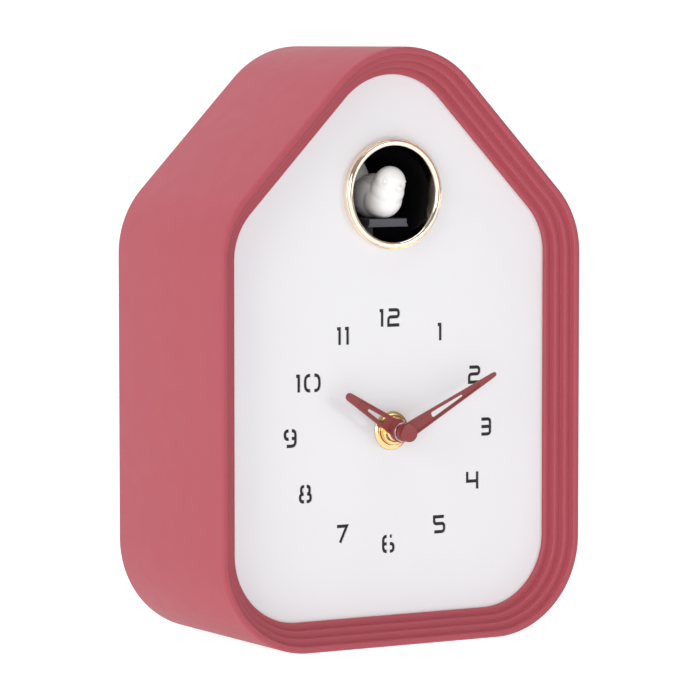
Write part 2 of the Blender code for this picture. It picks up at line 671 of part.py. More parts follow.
def build_motion_work(nylon, steel):
    """Wheels between the hands: 12:36 and 10:40 make one turn in twelve."""
    centre = (0, HANDS_Z)
    beside = (MOTION_DISTANCE, HANDS_Z)
    hour = prism("hour_wheel", gear_outline(centre, 40, HOUR_MODULE, 0.0), 17.5, 18.3, nylon,
                 origin=world("Y", *centre, 0))
    join(hour, rod("add_hour_tube", centre, 1.7, 17.9, TUBE_OUTER, steps=32))
    cut(hour, rod("cut_hour_tube", centre, 0.0, 20.0, TUBE_INNER, steps=32))

    arbor = turned("minute_arbor",
                   [(0, -1.7), (1.3, -1.7), (ARBOR_RADIUS, -1.4), (ARBOR_RADIUS, 18.5), (1.0, 18.7),
                    (1.0, 21.8), (0, 21.8)], centre, steel, steps=24)
    join(arbor, prism("add_cannon_pinion", gear_outline(centre, 12, MINUTE_MODULE, 0.0),
                      18.6, 20.0))

    wheel = prism("minute_wheel", gear_outline(beside, 36, MINUTE_MODULE, math.radians(5)),
                  18.8, 19.6, nylon, origin=world("Y", *beside, 0))
    tooth_at = math.pi + math.pi / 10
    join(wheel, prism("add_minute_pinion", gear_outline(beside, 10, HOUR_MODULE, tooth_at),
                      17.2, 19.2))
    cut(wheel, rod("cut_minute_bore", beside, 16, 21, 0.75, steps=12))

    place = (SETTING_X, HANDS_Z)
    knob_front = COVER_BACK + 1.0
    stem = turned("setting_stem",
                  [(0, 17.6), (0.6, 17.6), (0.6, 18.5), (1.2, 19.9), (1.2, knob_front + 1.6),
                   (0, knob_front + 1.6)], place, nylon)
    join(stem, prism("add_setting_pinion", gear_outline(place, 10, MINUTE_MODULE, math.pi),
                     18.4, 20.0))
    knob = prism("setting_knob", gear_outline(place, 24, 0.42, 0.0), knob_front, 83.4, nylon,
                 origin=world("Y", *place, 0))
    cut(knob, rod("cut_knob_bore", place, knob_front - 1, knob_front + 2.0, 1.5))


def build_going_train(nylon, steel, magnet, copper):
    """Rotor to centre wheel: 8:40, 8:48, 8:60 and 8:64, 1800 turns to one."""
    places, angles = train_places()
    spot = {name: (x, HANDS_Z + z) for name, (x, z) in places.items()}
    module = TRAIN_MODULE
    pivot, back = 0.4, MOVEMENT_BACK - MOVEMENT_WALL - GAP
    half_turn = math.pi

    centre = (0, HANDS_Z)
    wheel = prism("centre_wheel", gear_outline(centre, 64, module, angles["third"]), 20.5, 21.2,
                  nylon, origin=world("Y", *centre, 0))
    cut(wheel, rod("cut_centre_bore", centre, 20, 22, 1.3, steps=16))

    def arbor(name, teeth, wheel_depth, wheel_tooth, pinion_tooth, pinion_depth, front, material):
        """A wheel with its pinion and pivots, as one moulding."""
        here = spot[name.split("_")[0]]
        body = prism(name, gear_outline(here, teeth, module, wheel_tooth), wheel_depth,
                     wheel_depth + 0.6, material, origin=world("Y", *here, 0))
        join(body, prism(f"add_{name}_pinion", gear_outline(here, 8, module, pinion_tooth),
                         pinion_depth, wheel_depth + 0.3))
        join(body, rod(f"add_{name}_pivots", here, front, back, pivot, steps=10))
        return body

    mesh_gap = math.pi / 8
    arbor("third_wheel", 60, 22.1, angles["fourth"], angles["third"] + half_turn + mesh_gap, 20.2,
          17.0, nylon)
    arbor("fourth_wheel", 48, 23.5, angles["fifth"], angles["fourth"] + half_turn + mesh_gap, 21.8,
          17.0, nylon)
    arbor("fifth_wheel", 40, 24.9, angles["rotor"], angles["fifth"] + half_turn + mesh_gap, 23.2,
          22.0, nylon)

    here = spot["rotor"]
    rotor = turned("rotor",
                   [(0, 17.2), (0.5, 17.2), (0.5, 18.2), (2.5, 18.2), (2.5, 21.8), (0.6, 21.8),
                    (0.5, 24.0), (pivot, back), (0, back)], here, magnet, steps=20)
    join(rotor, prism("add_rotor_pinion",
                      gear_outline(here, 8, module, angles["rotor"] + half_turn + mesh_gap),
                      24.4, 25.8))

    rz = here[1]
    stator = prism("stator",
                   [(-17.0, rz - 14.4), (22.0, rz - 14.4), (22.0, rz - 1.9), (-5.5, rz - 1.9),
                    (-5.5, rz + 4.1), (-17.0, rz + 4.1)], 19.0, 20.2, steel)
    window = box("cut_stator_window", (-4.0, 18.0), (18, 21), (rz - 11.9, rz - 4.9))
    cut(stator, window, rod("cut_stator_bore", here, 18, 21, 3.0, steps=24))
    coil = rod("coil", (19.6, rz - 13.2), -3.4, 17.4, 3.1, copper, axis="X", steps=24)
    cut(coil, box("cut_coil_core", (-5, 19), (18.7, 20.5), (rz - 14.8, rz - 11.6)))


def hand_outline(angle, tip, hub_half, tip_half, tail):
    """A straight tapered hand from the hub to a rounded tip, and a short tail."""
    points = [(-tail, -hub_half)]
    points += arc((tip - tip_half, 0), tip_half, -math.pi / 2, math.pi / 2, 6)
    points += [(-tail, hub_half)]
    return turn_points(points, angle)


def turn_points(points, angle):
    cos, sin = math.cos(angle), math.sin(angle)
    return [(u * cos - v * sin, HANDS_Z + u * sin + v * cos) for u, v in points]


def slot_outline(angle, near, far, near_half, far_half):
    points = [(near, -near_half), (far, -far_half), (far, far_half), (near, near_half)]
    return turn_points(points, angle)


def build_hands(red):
    centre = (0, HANDS_Z)
    origin = world("Y", *centre, 0)
    bore = TUBE_OUTER + GAP
    hour = prism("hour_hand", hand_outline(HOUR_ANGLE, 28.8, 3.5, 1.6, 0.0), 2.7, 3.7, red,
                 origin=origin)
    join(hour, rod("add_hour_hub", centre, 2.4, 4.4, 4.1, steps=30))
    cut(hour, rod("cut_hour_bore", centre, 1, 6, bore, steps=30),
        prism("cut_hour_slot", slot_outline(HOUR_ANGLE, 8.4, 17.3, 1.15, 0.5), 2, 5))

    minute = prism("minute_hand", hand_outline(MINUTE_ANGLE, 46.2, 3.2, 0.9, 0.5), -0.4, 0.5, red,
                   origin=origin)
    join(minute, rod("add_minute_hub", centre, -0.7, 1.3, 3.5, steps=28))
    cut(minute, rod("cut_minute_hub", centre, -2, 3, ARBOR_RADIUS + GAP, steps=28),
        prism("cut_minute_slot", slot_outline(MINUTE_ANGLE, 13.4, 28.9, 1.1, 0.35), -2, 3))
    turned("hand_cap",
           [(0, -3.4), (3.1, -3.4), (3.4, -3.1), (3.4, -2.2), (2.6, -2.0), (2.6, -1.0),
            (ARBOR_RADIUS + GAP, -1.0), (ARBOR_RADIUS + GAP, -2.0), (0, -2.0)],
           centre, red, steps=28)


# ---------------------------------------------------------------- back of the clock
def build_rear_cover(black, steel):
    cover = prism("rear_cover", house_outline(WALL + GAP), COVER_FRONT, COVER_BACK, black)
    shell = 1.5
    pocket_x, pocket_z = (-POCKET_HALF, POCKET_HALF), (POCKET_LOW_Z, POCKET_HIGH_Z)
    tray = box("add_battery_tray", (-POCKET_HALF - shell, POCKET_HALF + shell),
               (POCKET_FRONT - shell, COVER_FRONT + 0.5),
               (POCKET_LOW_Z - shell, POCKET_HIGH_Z + shell))
    join(cover, tray)
    cut(cover, box("cut_battery_tray", pocket_x, (POCKET_FRONT, COVER_BACK + 1), pocket_z))
    # two hooked rails hold the sliding battery door
    for side in (-1, 1):
        inner, lip, outer = POCKET_HALF + 2.1, POCKET_HALF + 0.6, POCKET_HALF + 3.6
        outline = [(side * inner, COVER_BACK - 0.5), (side * outer, COVER_BACK - 0.5),
                   (side * outer, 82.4), (side * lip, 82.4), (side * lip, 81.2),
                   (side * inner, 81.2)]
        name = "left" if side < 0 else "right"
        join(cover, prism(f"add_rail_{name}", outline, POCKET_LOW_Z + 1, POCKET_HIGH_Z - 1,
                          axis="Z"))
    slots = []
    for row in range(-4, 5):
        z = SPEAKER_Z + row * 3.8
        half = math.sqrt(17.5 ** 2 - (row * 3.8) ** 2)
        slots.append(rectangle((-half, half), (z - 0.9, z + 0.9)))
    cut(cover, prisms("cut_speaker_slots", slots, COVER_FRONT - 1, COVER_BACK + 1))
    keyhole = [(-2.1, KEYHOLE_Z)] + arc((0, KEYHOLE_Z + 9), 2.1, math.pi, 0, 8) \
        + [(2.1, KEYHOLE_Z)] + arc((0, KEYHOLE_Z), 4.3, math.radians(60), math.radians(-240), 18)
    cut(cover, prism("cut_keyhole", keyhole, COVER_FRONT - 1, COVER_BACK + 1))
    through = {"setting": (SETTING_X, HANDS_Z, 2.0), "volume": (VOLUME_X, CONTROLS_Z, 2.3),
               "button": (BUTTON_X, CONTROLS_Z, 3.5)}
    for name, (x, z, radius) in through.items():
        cut(cover, rod(f"cut_hole_{name}", (x, z), COVER_FRONT - 1, COVER_BACK + 1, radius))
    cut(cover, box("cut_switch_slot", (-6.5, 4.5), (COVER_FRONT - 1, COVER_BACK + 1),
                   (CONTROLS_Z - 1.8, CONTROLS_Z + 1.8)))
    for number, place in enumerate(boss_places(), 1):
        cut(cover, rod(f"cut_cover_hole_{number}", place, COVER_FRONT - 1, COVER_BACK + 1, 2.0))
        screw = turned(f"cover_screw_{number}",
                       [(0, 81.0), (2.4, 81.0), (3.1, 80.4), (3.1, DOOR_DEPTH), (1.4, DOOR_DEPTH),
                        (1.4, 68.0), (0.5, 66.5), (0, 66.5)], place, steel, steps=12)
        for turn in (0, 1):
            wide, narrow = (1.7, 0.4) if turn else (0.4, 1.7)
            cut(screw, box(f"cut_screw_cross_{number}_{turn}",
                           (place[0] - wide, place[0] + wide), (80.2, 82),
                           (place[1] - narrow, place[1] + narrow)))

    door = box("battery_door", (-POCKET_HALF - 1.8, POCKET_HALF + 1.8),
               (DOOR_DEPTH, DOOR_DEPTH + DOOR_THICK), (POCKET_LOW_Z - 0.6, POCKET_HIGH_Z + 0.6),
               black, origin=world("Y", 0, POCKET_LOW_Z, DOOR_DEPTH))
    for number in range(5):
        z = POCKET_HIGH_Z - 7 - number * 2.2
        join(door, box(f"add_door_grip_{number}", (-9, 9),
                       (DOOR_DEPTH + 1.0, DOOR_DEPTH + DOOR_THICK + 0.7), (z - 0.55, z + 0.55)))


def build_batteries(label, steel):
    for number in range(1, 4):
        x = (number - 2) * CELL_PITCH
        flip = number % 2 == 0
        nub, flat = CELL_LOW_Z + CELL_LENGTH, CELL_LOW_Z
        if flip:
            nub, flat = [POCKET_LOW_Z + POCKET_HIGH_Z - z for z in (nub, flat)]
        sign = 1 if nub > flat else -1
        turned(f"battery_{number}",
               [(0, nub + sign * 1.2), (2.7, nub + sign * 1.2), (2.7, nub), (6.6, nub),
                (CELL_RADIUS, nub - sign * 0.6), (CELL_RADIUS, flat + sign * 0.6), (6.6, flat),
                (0, flat)], (x, CELL_DEPTH), label, axis="Z", steps=16)
        low, high = POCKET_LOW_Z + SPRING_END, CELL_LOW_Z - SPRING_END
        plate_z = POCKET_HIGH_Z - GAP - 0.5
        if flip:
            low, high = flat + SPRING_END, POCKET_HIGH_Z - SPRING_END
            plate_z = POCKET_LOW_Z + GAP
        battery_spring(f"battery_spring_{number}", x, low, high - low, flip, steel)
        box(f"contact_plate_{number}", (x - 5.5, x + 5.5), (CELL_DEPTH - 5, CELL_DEPTH + 5),
            (plate_z, plate_z + 0.5), steel)


def battery_spring(name, x, low, rise, widest_high, material):
    """A conical coil spring, its wide end against the tray."""
    steps_per_turn = 8
    count = 3 * steps_per_turn
    curve = bpy.data.curves.new(name, "CURVE")
    curve.dimensions = "3D"
    curve.bevel_depth = 0.3 * MM
    curve.bevel_resolution = 1
    curve.use_fill_caps = True
    spline = curve.splines.new("POLY")
    spline.points.add(count)
    for i, point in enumerate(spline.points):
        share = i / count
        width = share if widest_high else 1 - share
        radius = 2.4 + 2.4 * width
        angle = math.tau * i / steps_per_turn
        place = world("Z", x + radius * math.cos(angle), CELL_DEPTH + radius * math.sin(angle),
                      low + rise * share)
        point.co = (*place, 1.0)
    obj = bpy.data.objects.new(name, curve)
    curve.materials.append(material)
    PARTS.objects.link(obj)


def build_electronics(board_green, black, cone_grey, steel, lead_red):
    board_front = 66.0
    board = box("circuit_board", (-38, 38), (board_front, board_front + 1.6), (87, 109.5),
                board_green)
    join(board, box("add_chip", (-16, -6), (64.4, 66.5), (92, 102)),
         box("add_capacitor_block", (20, 27), (62.0, 66.5), (90, 96)),
         rod("add_capacitor", (6, 103), 59.0, 66.5, 3.0, steps=16),
         box("add_switch_body", (-5.5, 3.5), (67.3, 72.2), (94.5, 101.5)),
         rod("add_pot_body", (VOLUME_X, CONTROLS_Z), 67.3, 72.0, 5.5, steps=20),
         box("add_button_body", (BUTTON_X - 3.2, BUTTON_X + 3.2), (67.3, 71.0),
             (CONTROLS_Z - 3.2, CONTROLS_Z + 3.2)))

    place = (VOLUME_X, CONTROLS_Z)
    knob = prism("volume_knob", gear_outline(place, 24, 0.44, 0.0), 79.8, 83.2, black,
                 origin=world("Y", *place, 0))
    join(knob, rod("add_volume_shaft", place, 72.3, 80.5, 1.9))
    cut(knob, box("cut_volume_mark", (VOLUME_X - 0.4, VOLUME_X + 0.4), (82.6, 84),
                  (CONTROLS_Z + 1.5, CONTROLS_Z + 5.0)))
    switch = box("chime_switch", (-4.3, -0.7), (72.6, 80.6), (CONTROLS_Z - 1.4, CONTROLS_Z + 1.4),
                 black)
    join(switch, box("add_switch_tip", (-3.2, -1.8), (80.2, 81.2),
                     (CONTROLS_Z - 1.4, CONTROLS_Z + 1.4)))
    turned("test_button",
           [(0, 81.2), (2.6, 81.2), (3.1, 80.7), (3.1, 76.0), (4.4, 76.0), (4.4, 74.6), (1.2, 74.6),
            (1.2, 72.6), (0, 72.6)], (BUTTON_X, CONTROLS_Z), black, steps=24)

    middle = (0, SPEAKER_Z)
    frame = turned("speaker_frame",
                   [(19.0, 76.2), (19.8, 76.2), (19.8, 74.9), (18.4, 74.0), (12.5, 67.4),
                    (8.4, 67.2), (8.4, 68.2), (11.9, 68.4), (17.2, 74.4), (19.0, 75.4)],
                   middle, steel, steps=24, closed=True)
    smooth(frame)
    cone = turned("speaker_cone",
                  [(0, 70.6), (3.8, 71.6), (4.4, 70.3), (15.4, 75.2), (16.4, 75.9), (18.6, 76.1),
                   (18.6, 75.8), (16.6, 75.4), (15.6, 74.6), (4.4, 69.4), (3.0, 69.9), (0, 69.6)],
                  middle, cone_grey, steps=24)
    smooth(cone)
    turned("speaker_magnet",
           [(0, 66.9), (9.6, 66.9), (9.6, 63.4), (8.9, 62.8), (0, 62.8)], middle, steel, steps=28)

    wire("battery_lead", [(28.5, 64, 60), (34, 60, 66), (36, 58, 78), (33, 60, 88), (29, 65.2, 97.5)],
         0.7, lead_red)
    wire("speaker_lead", [(12, 64, 121), (17, 60, 116), (20, 60, 110), (17, 65.2, 103)], 0.7, lead_red)
    wire("motor_lead", [(26.2, MOTOR_DEPTH, MOTOR_Z), (30, 45, 128), (34, 54, 118), (34.5, 62, 110),
                        (33, 65.2, 105)], 0.7, lead_red)


def main():
    plastic = make_material("rose_plastic", (0.46, 0.115, 0.135), 0.55)
    white = make_material("dial_white", (0.84, 0.84, 0.86), 0.5)
    black = make_material("black_plastic", (0.018, 0.018, 0.02), 0.5)
    gloss_black = make_material("gloss_black", (0.008, 0.008, 0.009), 0.12)
    gold = make_material("ring_gold", (0.86, 0.66, 0.47), 0.15, 1.0)
    brass = make_material("brass", (0.80, 0.53, 0.20), 0.25, 1.0)
    steel = make_material("steel", (0.62, 0.62, 0.63), 0.35, 1.0)
    bird_white = make_material("bird_white", (0.86, 0.85, 0.85), 0.3)
    grey = make_material("perch_grey", (0.07, 0.07, 0.085), 0.4)
    nylon = make_material("nylon", (0.75, 0.74, 0.70), 0.45)
    magnet = make_material("magnet", (0.10, 0.10, 0.11), 0.4, 0.6)
    copper = make_material("copper_winding", (0.55, 0.22, 0.09), 0.35, 1.0)
    red = make_material("hand_red", (0.33, 0.05, 0.055), 0.4)
    label = make_material("battery_label", (0.16, 0.20, 0.26), 0.35)
    green = make_material("board_green", (0.02, 0.13, 0.05), 0.4)
    cone_grey = make_material("paper_cone", (0.05, 0.05, 0.055), 0.8)
    lead_red = make_material("lead_red", (0.5, 0.03, 0.03), 0.45)

    build_case(plastic)
    build_dial(white, black, gold)
    build_chamber(gloss_black)
    build_bird(bird_white, grey)
    build_drive(steel, nylon, steel, black)
    build_movement_case(black, brass)
    build_motion_work(nylon, steel)
    build_going_train(nylon, steel, magnet, copper)
    build_hands(red)
    build_rear_cover(black, steel)
    build_batteries(label, steel)
    build_electronics(green, black, cone_grey, steel, lead_red)


for old in list(bpy.data.objects):
    bpy.data.objects.remove(old, do_unlink=True)
PARTS = make_collection("cuckoo_clock")
CUTTERS = make_collection("cutters")
main()
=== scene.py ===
"""The looks of the house-shaped cuckoo clock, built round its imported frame.

Lengths are millimetres unless a name says otherwise. "Depth" is the distance
behind the plane of the case's front rim, u runs to the right of someone facing
the dial, and v runs up from the base.
"""
import json
import math

import bmesh
import bpy
from mathutils import Matrix, Vector

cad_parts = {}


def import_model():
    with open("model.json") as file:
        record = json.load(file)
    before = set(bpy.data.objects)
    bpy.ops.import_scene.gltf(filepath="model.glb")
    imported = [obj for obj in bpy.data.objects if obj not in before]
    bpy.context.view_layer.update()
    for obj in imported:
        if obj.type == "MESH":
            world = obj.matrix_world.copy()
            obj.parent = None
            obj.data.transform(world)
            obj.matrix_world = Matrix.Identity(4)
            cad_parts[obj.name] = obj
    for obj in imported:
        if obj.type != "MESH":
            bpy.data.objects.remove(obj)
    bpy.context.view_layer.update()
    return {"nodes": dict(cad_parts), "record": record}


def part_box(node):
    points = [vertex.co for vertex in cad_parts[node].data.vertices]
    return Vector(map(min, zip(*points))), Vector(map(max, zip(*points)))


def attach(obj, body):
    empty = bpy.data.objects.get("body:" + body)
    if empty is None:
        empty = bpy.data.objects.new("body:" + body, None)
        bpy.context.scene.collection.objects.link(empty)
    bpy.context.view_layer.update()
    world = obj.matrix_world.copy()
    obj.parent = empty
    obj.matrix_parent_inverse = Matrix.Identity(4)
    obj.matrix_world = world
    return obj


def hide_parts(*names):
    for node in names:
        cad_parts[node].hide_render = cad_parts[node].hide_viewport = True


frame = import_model()
MM = 0.001


def node_box(node):
    """A CAD node's low and high corner in millimetres, as (u, depth, v)."""
    low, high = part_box(node)
    return ((low.x / MM, (low.y - FRONT) / MM, low.z / MM),
            (high.x / MM, (high.y - FRONT) / MM, high.z / MM))


# ---- places read from the frame ----
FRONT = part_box("case_shell")[0].y
CASE_LOW, CASE_HIGH = node_box("case_shell")
WIDTH, DEPTH, HEIGHT = (high - low for low, high in zip(CASE_LOW, CASE_HIGH))
RING_LOW, RING_HIGH = node_box("window_ring")
RING_OUTER = (RING_HIGH[0] - RING_LOW[0]) / 2
WINDOW_Z = (RING_LOW[2] + RING_HIGH[2]) / 2
CAP_LOW, CAP_HIGH = node_box("hand_cap")
HANDS_Z = (CAP_LOW[2] + CAP_HIGH[2]) / 2
DIAL_FRONT = node_box("dial_plate")[0][1]
DIAL_BACK = node_box("dial_plate")[1][1]
BACKING_BACK = node_box("dial_backing")[1][1]
CHAMBER_LOW, CHAMBER_HIGH = node_box("bird_chamber")
DOOR_GAP = 0.3
COVER_BACK = node_box("battery_door")[0][1] - DOOR_GAP
COVER_THICK = 2.5
COVER_FRONT = COVER_BACK - COVER_THICK

# ---- the case's outline and bezel ----
EAVE_Z = 164.0
ROOF_SLOPE = math.radians(46.23)
BASE_RADIUS = 38.0
EAVE_RADIUS = 36.0
WALL = 2.5
BAND = 2.65
BAND_DEPTHS = (0.0, 3.0, 6.0, 9.1)
LIP = 0.62                          # radius of the bands' front edges
NOOK = 0.28                         # radius of the corners between them
DIAL_LAP = 1.9                      # how far the bezel laps over the dial's edge
APEX_Z = EAVE_Z + WIDTH / 2 * math.tan(ROOF_SLOPE)
APEX_HALF_ANGLE = math.pi / 2 - ROOF_SLOPE
APEX_RADIUS = (APEX_Z - HEIGHT) / (1 / math.sin(APEX_HALF_ANGLE) - 1)

# ---- dial and hands ----
DIAL_EDGE = 4 * BAND - DIAL_LAP     # inset of the dial from the case's outline
WINDOW_HOLE = RING_OUTER - 1.2
BUSH_HOLE = 4.3
NUMERAL_RADIUS = 43.6
NUMERAL_HEIGHT = 7.2
NUMERAL_STROKE = 1.32
NUMERAL_WIDTH = 5.9
MINUTE_ANGLE = math.radians(90 - 62.7)
HOUR_ANGLE = math.radians(90 + 57.9)

# ---- bird's slide ----
PERCH_BASE, PERCH_TOP = 160.7, 163.9
PINION_DEPTH = 36.0                 # depth of the pinion under the rack
RACK_PITCH_Z = 146.0
RACK_TOP = 150.6
RACK_MODULE = 0.6
RACK_TEETH = 10
RACK_HALF_WIDTH = 2.0

# ---- back ----
SPEAKER_Z = 130.0
SPEAKER_RADIUS = 17.5
CONTROLS_Z = 98.0
KEYHOLE_Z = 197.0
BOSS_REACH = 6.4                    # from the case's outline in to a screw boss
BOSS_RADIUS = 4.3
TRAY_HALF_WIDTH = 24.2
TRAY_LOW, TRAY_HIGH = 14.4, 70.0
TRAY_FLOOR = 60.6                   # depth of the battery tray's inner face

# ---- camera ----
CAMERA_AZIMUTH = math.radians(30.573)
CAMERA_ELEVATION = math.radians(4.345)
CAMERA_DISTANCE = 1.55216           # metres
CAMERA_TARGET = (-24.775, 115.054, 0.0)
CAMERA_LENS = 210.19


# ---------------------------------------------------------------- geometry helpers
def world(u, v, depth):
    return Vector((u * MM, FRONT + depth * MM, v * MM))


def new_object(name, bm):
    bmesh.ops.recalc_face_normals(bm, faces=bm.faces)
    mesh = bpy.data.meshes.new(name)
    bm.to_mesh(mesh)
    bm.free()
    obj = bpy.data.objects.new(name, mesh)
    bpy.context.scene.collection.objects.link(obj)
    return obj


def loft(name, rings, loop=False):
    """A skin through closed rings of world points, wrapped round if loop is
    set. Points that coincide, as on an axis, are merged."""
    bm = bmesh.new()
    rows = [[bm.verts.new(point) for point in ring] for ring in rings]
    pairs = list(zip(rows, rows[1:]))
    if loop:
        pairs.append((rows[-1], rows[0]))
    count = len(rows[0])
    for near, far in pairs:
        for i in range(count):
            j = (i + 1) % count
            bm.faces.new((near[i], near[j], far[j], far[i]))
    bmesh.ops.remove_doubles(bm, verts=bm.verts, dist=0.000002)
    return new_object(name, bm)


def arc(centre, radius, start, end, steps):
    return [(centre[0] + radius * math.cos(start + (end - start) * i / steps),
             centre[1] + radius * math.sin(start + (end - start) * i / steps))
            for i in range(steps + 1)]


def circle(centre, radius, steps):
    return arc(centre, radius, 0.0, math.tau, steps)[:-1]


def rectangle(u, v):
    return [(u[0], v[0]), (u[1], v[0]), (u[1], v[1]), (u[0], v[1])]


def rounded_rectangle(u, v, radius):
    return filleted([(a, b, radius) for a, b in rectangle(u, v)])


def filleted(corners, closed=True, steps=5):
    """A polygon given as (a, b, radius) corners, each corner made an arc."""
    points = []
    count = len(corners)
    for i, (a, b, radius) in enumerate(corners):
        here = Vector((a, b))
        if radius == 0 or (not closed and i in (0, count - 1)):
            points.append((a, b))
            continue
        back = Vector(corners[i - 1][:2]) - here
        ahead = Vector(corners[(i + 1) % count][:2]) - here
        half = back.angle(ahead) / 2
        reach = min(radius / math.tan(half), 0.49 * back.length, 0.49 * ahead.length)
        real = reach * math.tan(half)
        middle = here + (back.normalized() + ahead.normalized()).normalized() \
            * real / math.sin(half)
        start = here + back.normalized() * reach - middle
        end = here + ahead.normalized() * reach - middle
        sweep = start.angle(end)
        for step in range(steps + 1):
            t = step / steps
            spoke = (start * math.sin((1 - t) * sweep) + end * math.sin(t * sweep)) \
                / math.sin(sweep)
            points.append(tuple(middle + spoke))
    return points


def lathe(name, profile, centre, steps=96, loop=False):
    """A (radius, depth) profile turned round an axis along Y through centre."""
    rings = [[world(centre[0] + radius * math.cos(math.tau * i / steps),
                    centre[1] + radius * math.sin(math.tau * i / steps), depth)
              for i in range(steps)] for radius, depth in profile]
    return loft(name, rings, loop)


def extrude(bm, points, travel):
    """A closed loop of world points, filled and drawn out along a vector."""
    cap = bm.faces.new([bm.verts.new(point) for point in points])
    grown = bmesh.ops.extrude_face_region(bm, geom=[cap])
    moved = [item for item in grown["geom"] if isinstance(item, bmesh.types.BMVert)]
    bmesh.ops.translate(bm, verts=moved, vec=travel)


def extruded(name, points, travel):
    bm = bmesh.new()
    extrude(bm, points, travel)
    return new_object(name, bm)


def prisms(name, outlines, near, far):
    """Flat outlines that don't touch, each drawn out between two depths."""
    bm = bmesh.new()
    for outline in outlines:
        extrude(bm, [world(u, v, near) for u, v in outline],
                world(0, 0, far) - world(0, 0, near))
    return new_object(name, bm)


def prism(name, outline, near, far):
    return prisms(name, [outline], near, far)


def settle(obj):
    """Apply an object's modifiers to its mesh."""
    graph = bpy.context.evaluated_depsgraph_get()
    mesh = bpy.data.meshes.new_from_object(obj.evaluated_get(graph))
    obj.modifiers.clear()
    obj.data = mesh
    return obj


def combine(obj, tools, operation="DIFFERENCE"):
    """Cut or join with tools, which are then removed."""
    for tool in tools:
        modifier = obj.modifiers.new("combine", "BOOLEAN")
        modifier.operation = operation
        modifier.solver = "EXACT"
        modifier.object = tool
    settle(obj)
    for tool in tools:
        bpy.data.objects.remove(tool, do_unlink=True)
    return obj


def cut(obj, *tools):
    return combine(obj, tools)


def join(obj, *tools):
    return combine(obj, tools, "UNION")


def ease(obj, width, segments=3, angle=35, clamp=True):
    """Round the sharp edges, with the flat faces still shaded flat."""
    obj.data.shade_smooth()
    bevel = obj.modifiers.new("ease", "BEVEL")
    bevel.width = width * MM
    bevel.segments = segments
    bevel.limit_method = "ANGLE"
    bevel.angle_limit = math.radians(angle)
    bevel.use_clamp_overlap = clamp
    flat = obj.modifiers.new("flat", "WEIGHTED_NORMAL")
    flat.weight = 100
    flat.keep_sharp = False
    return settle(obj)


def smooth(obj, angle=40):
    obj.data.shade_smooth()
    obj.data.set_sharp_from_angle(angle=math.radians(angle))
    return obj


# ---------------------------------------------------------------- outlines
def house_corners():
    half = WIDTH / 2
    eave_in = EAVE_RADIUS * math.tan((math.pi / 2 - ROOF_SLOPE) / 2)
    apex_z = APEX_Z - APEX_RADIUS / math.sin(APEX_HALF_ANGLE)
    down, right, left = -math.pi / 2, 0.0, math.pi
    roof_right, roof_left = math.pi / 2 - ROOF_SLOPE, math.pi / 2 + ROOF_SLOPE
    return [
        ((-half + BASE_RADIUS, BASE_RADIUS), BASE_RADIUS, -math.pi, down),
        ((half - BASE_RADIUS, BASE_RADIUS), BASE_RADIUS, down, right),
        ((half - EAVE_RADIUS, EAVE_Z - eave_in), EAVE_RADIUS, right, roof_right),
        ((0.0, apex_z), APEX_RADIUS, roof_right, roof_left),
        ((-half + EAVE_RADIUS, EAVE_Z - eave_in), EAVE_RADIUS, roof_left, left),
    ]


def house_outline(inset, steps=30):
    points = []
    for centre, radius, start, end in house_corners():
        points += arc(centre, radius - inset, start, end, steps)
    return points


def rounded_path(points, radius, steps=5):
    points = [Vector(point) for point in points]
    if not radius:
        return points
    path = [points[0]]
    last = len(points) - 2
    for i, corner in enumerate(points[1:-1], 1):
        back, ahead = points[i - 1] - corner, points[i + 1] - corner
        reach_back = min(radius, back.length * (0.8 if i == 1 else 0.42))
        reach_ahead = min(radius, ahead.length * (0.8 if i == last else 0.42))
        start = corner + back.normalized() * reach_back
        end = corner + ahead.normalized() * reach_ahead
        for step in range(steps + 1):
            t = step / steps
            path.append(start.lerp(corner, t).lerp(corner.lerp(end, t), t))
    path.append(points[-1])
    return path


def ribbon(path, width):
    left, right = [], []
    for i, point in enumerate(path):
        before = (point - path[i - 1]).normalized() if i else None
        after = (path[i + 1] - point).normalized() if i + 1 < len(path) else None
        along = ((before or after) + (after or before)).normalized()
        stretch = 1 / max(0.5, along.dot(after or before))
        across = Vector((-along.y, along.x)) * width / 2 * stretch
        left.append(tuple(point + across))
        right.append(tuple(point - across))
    return left + right[::-1]


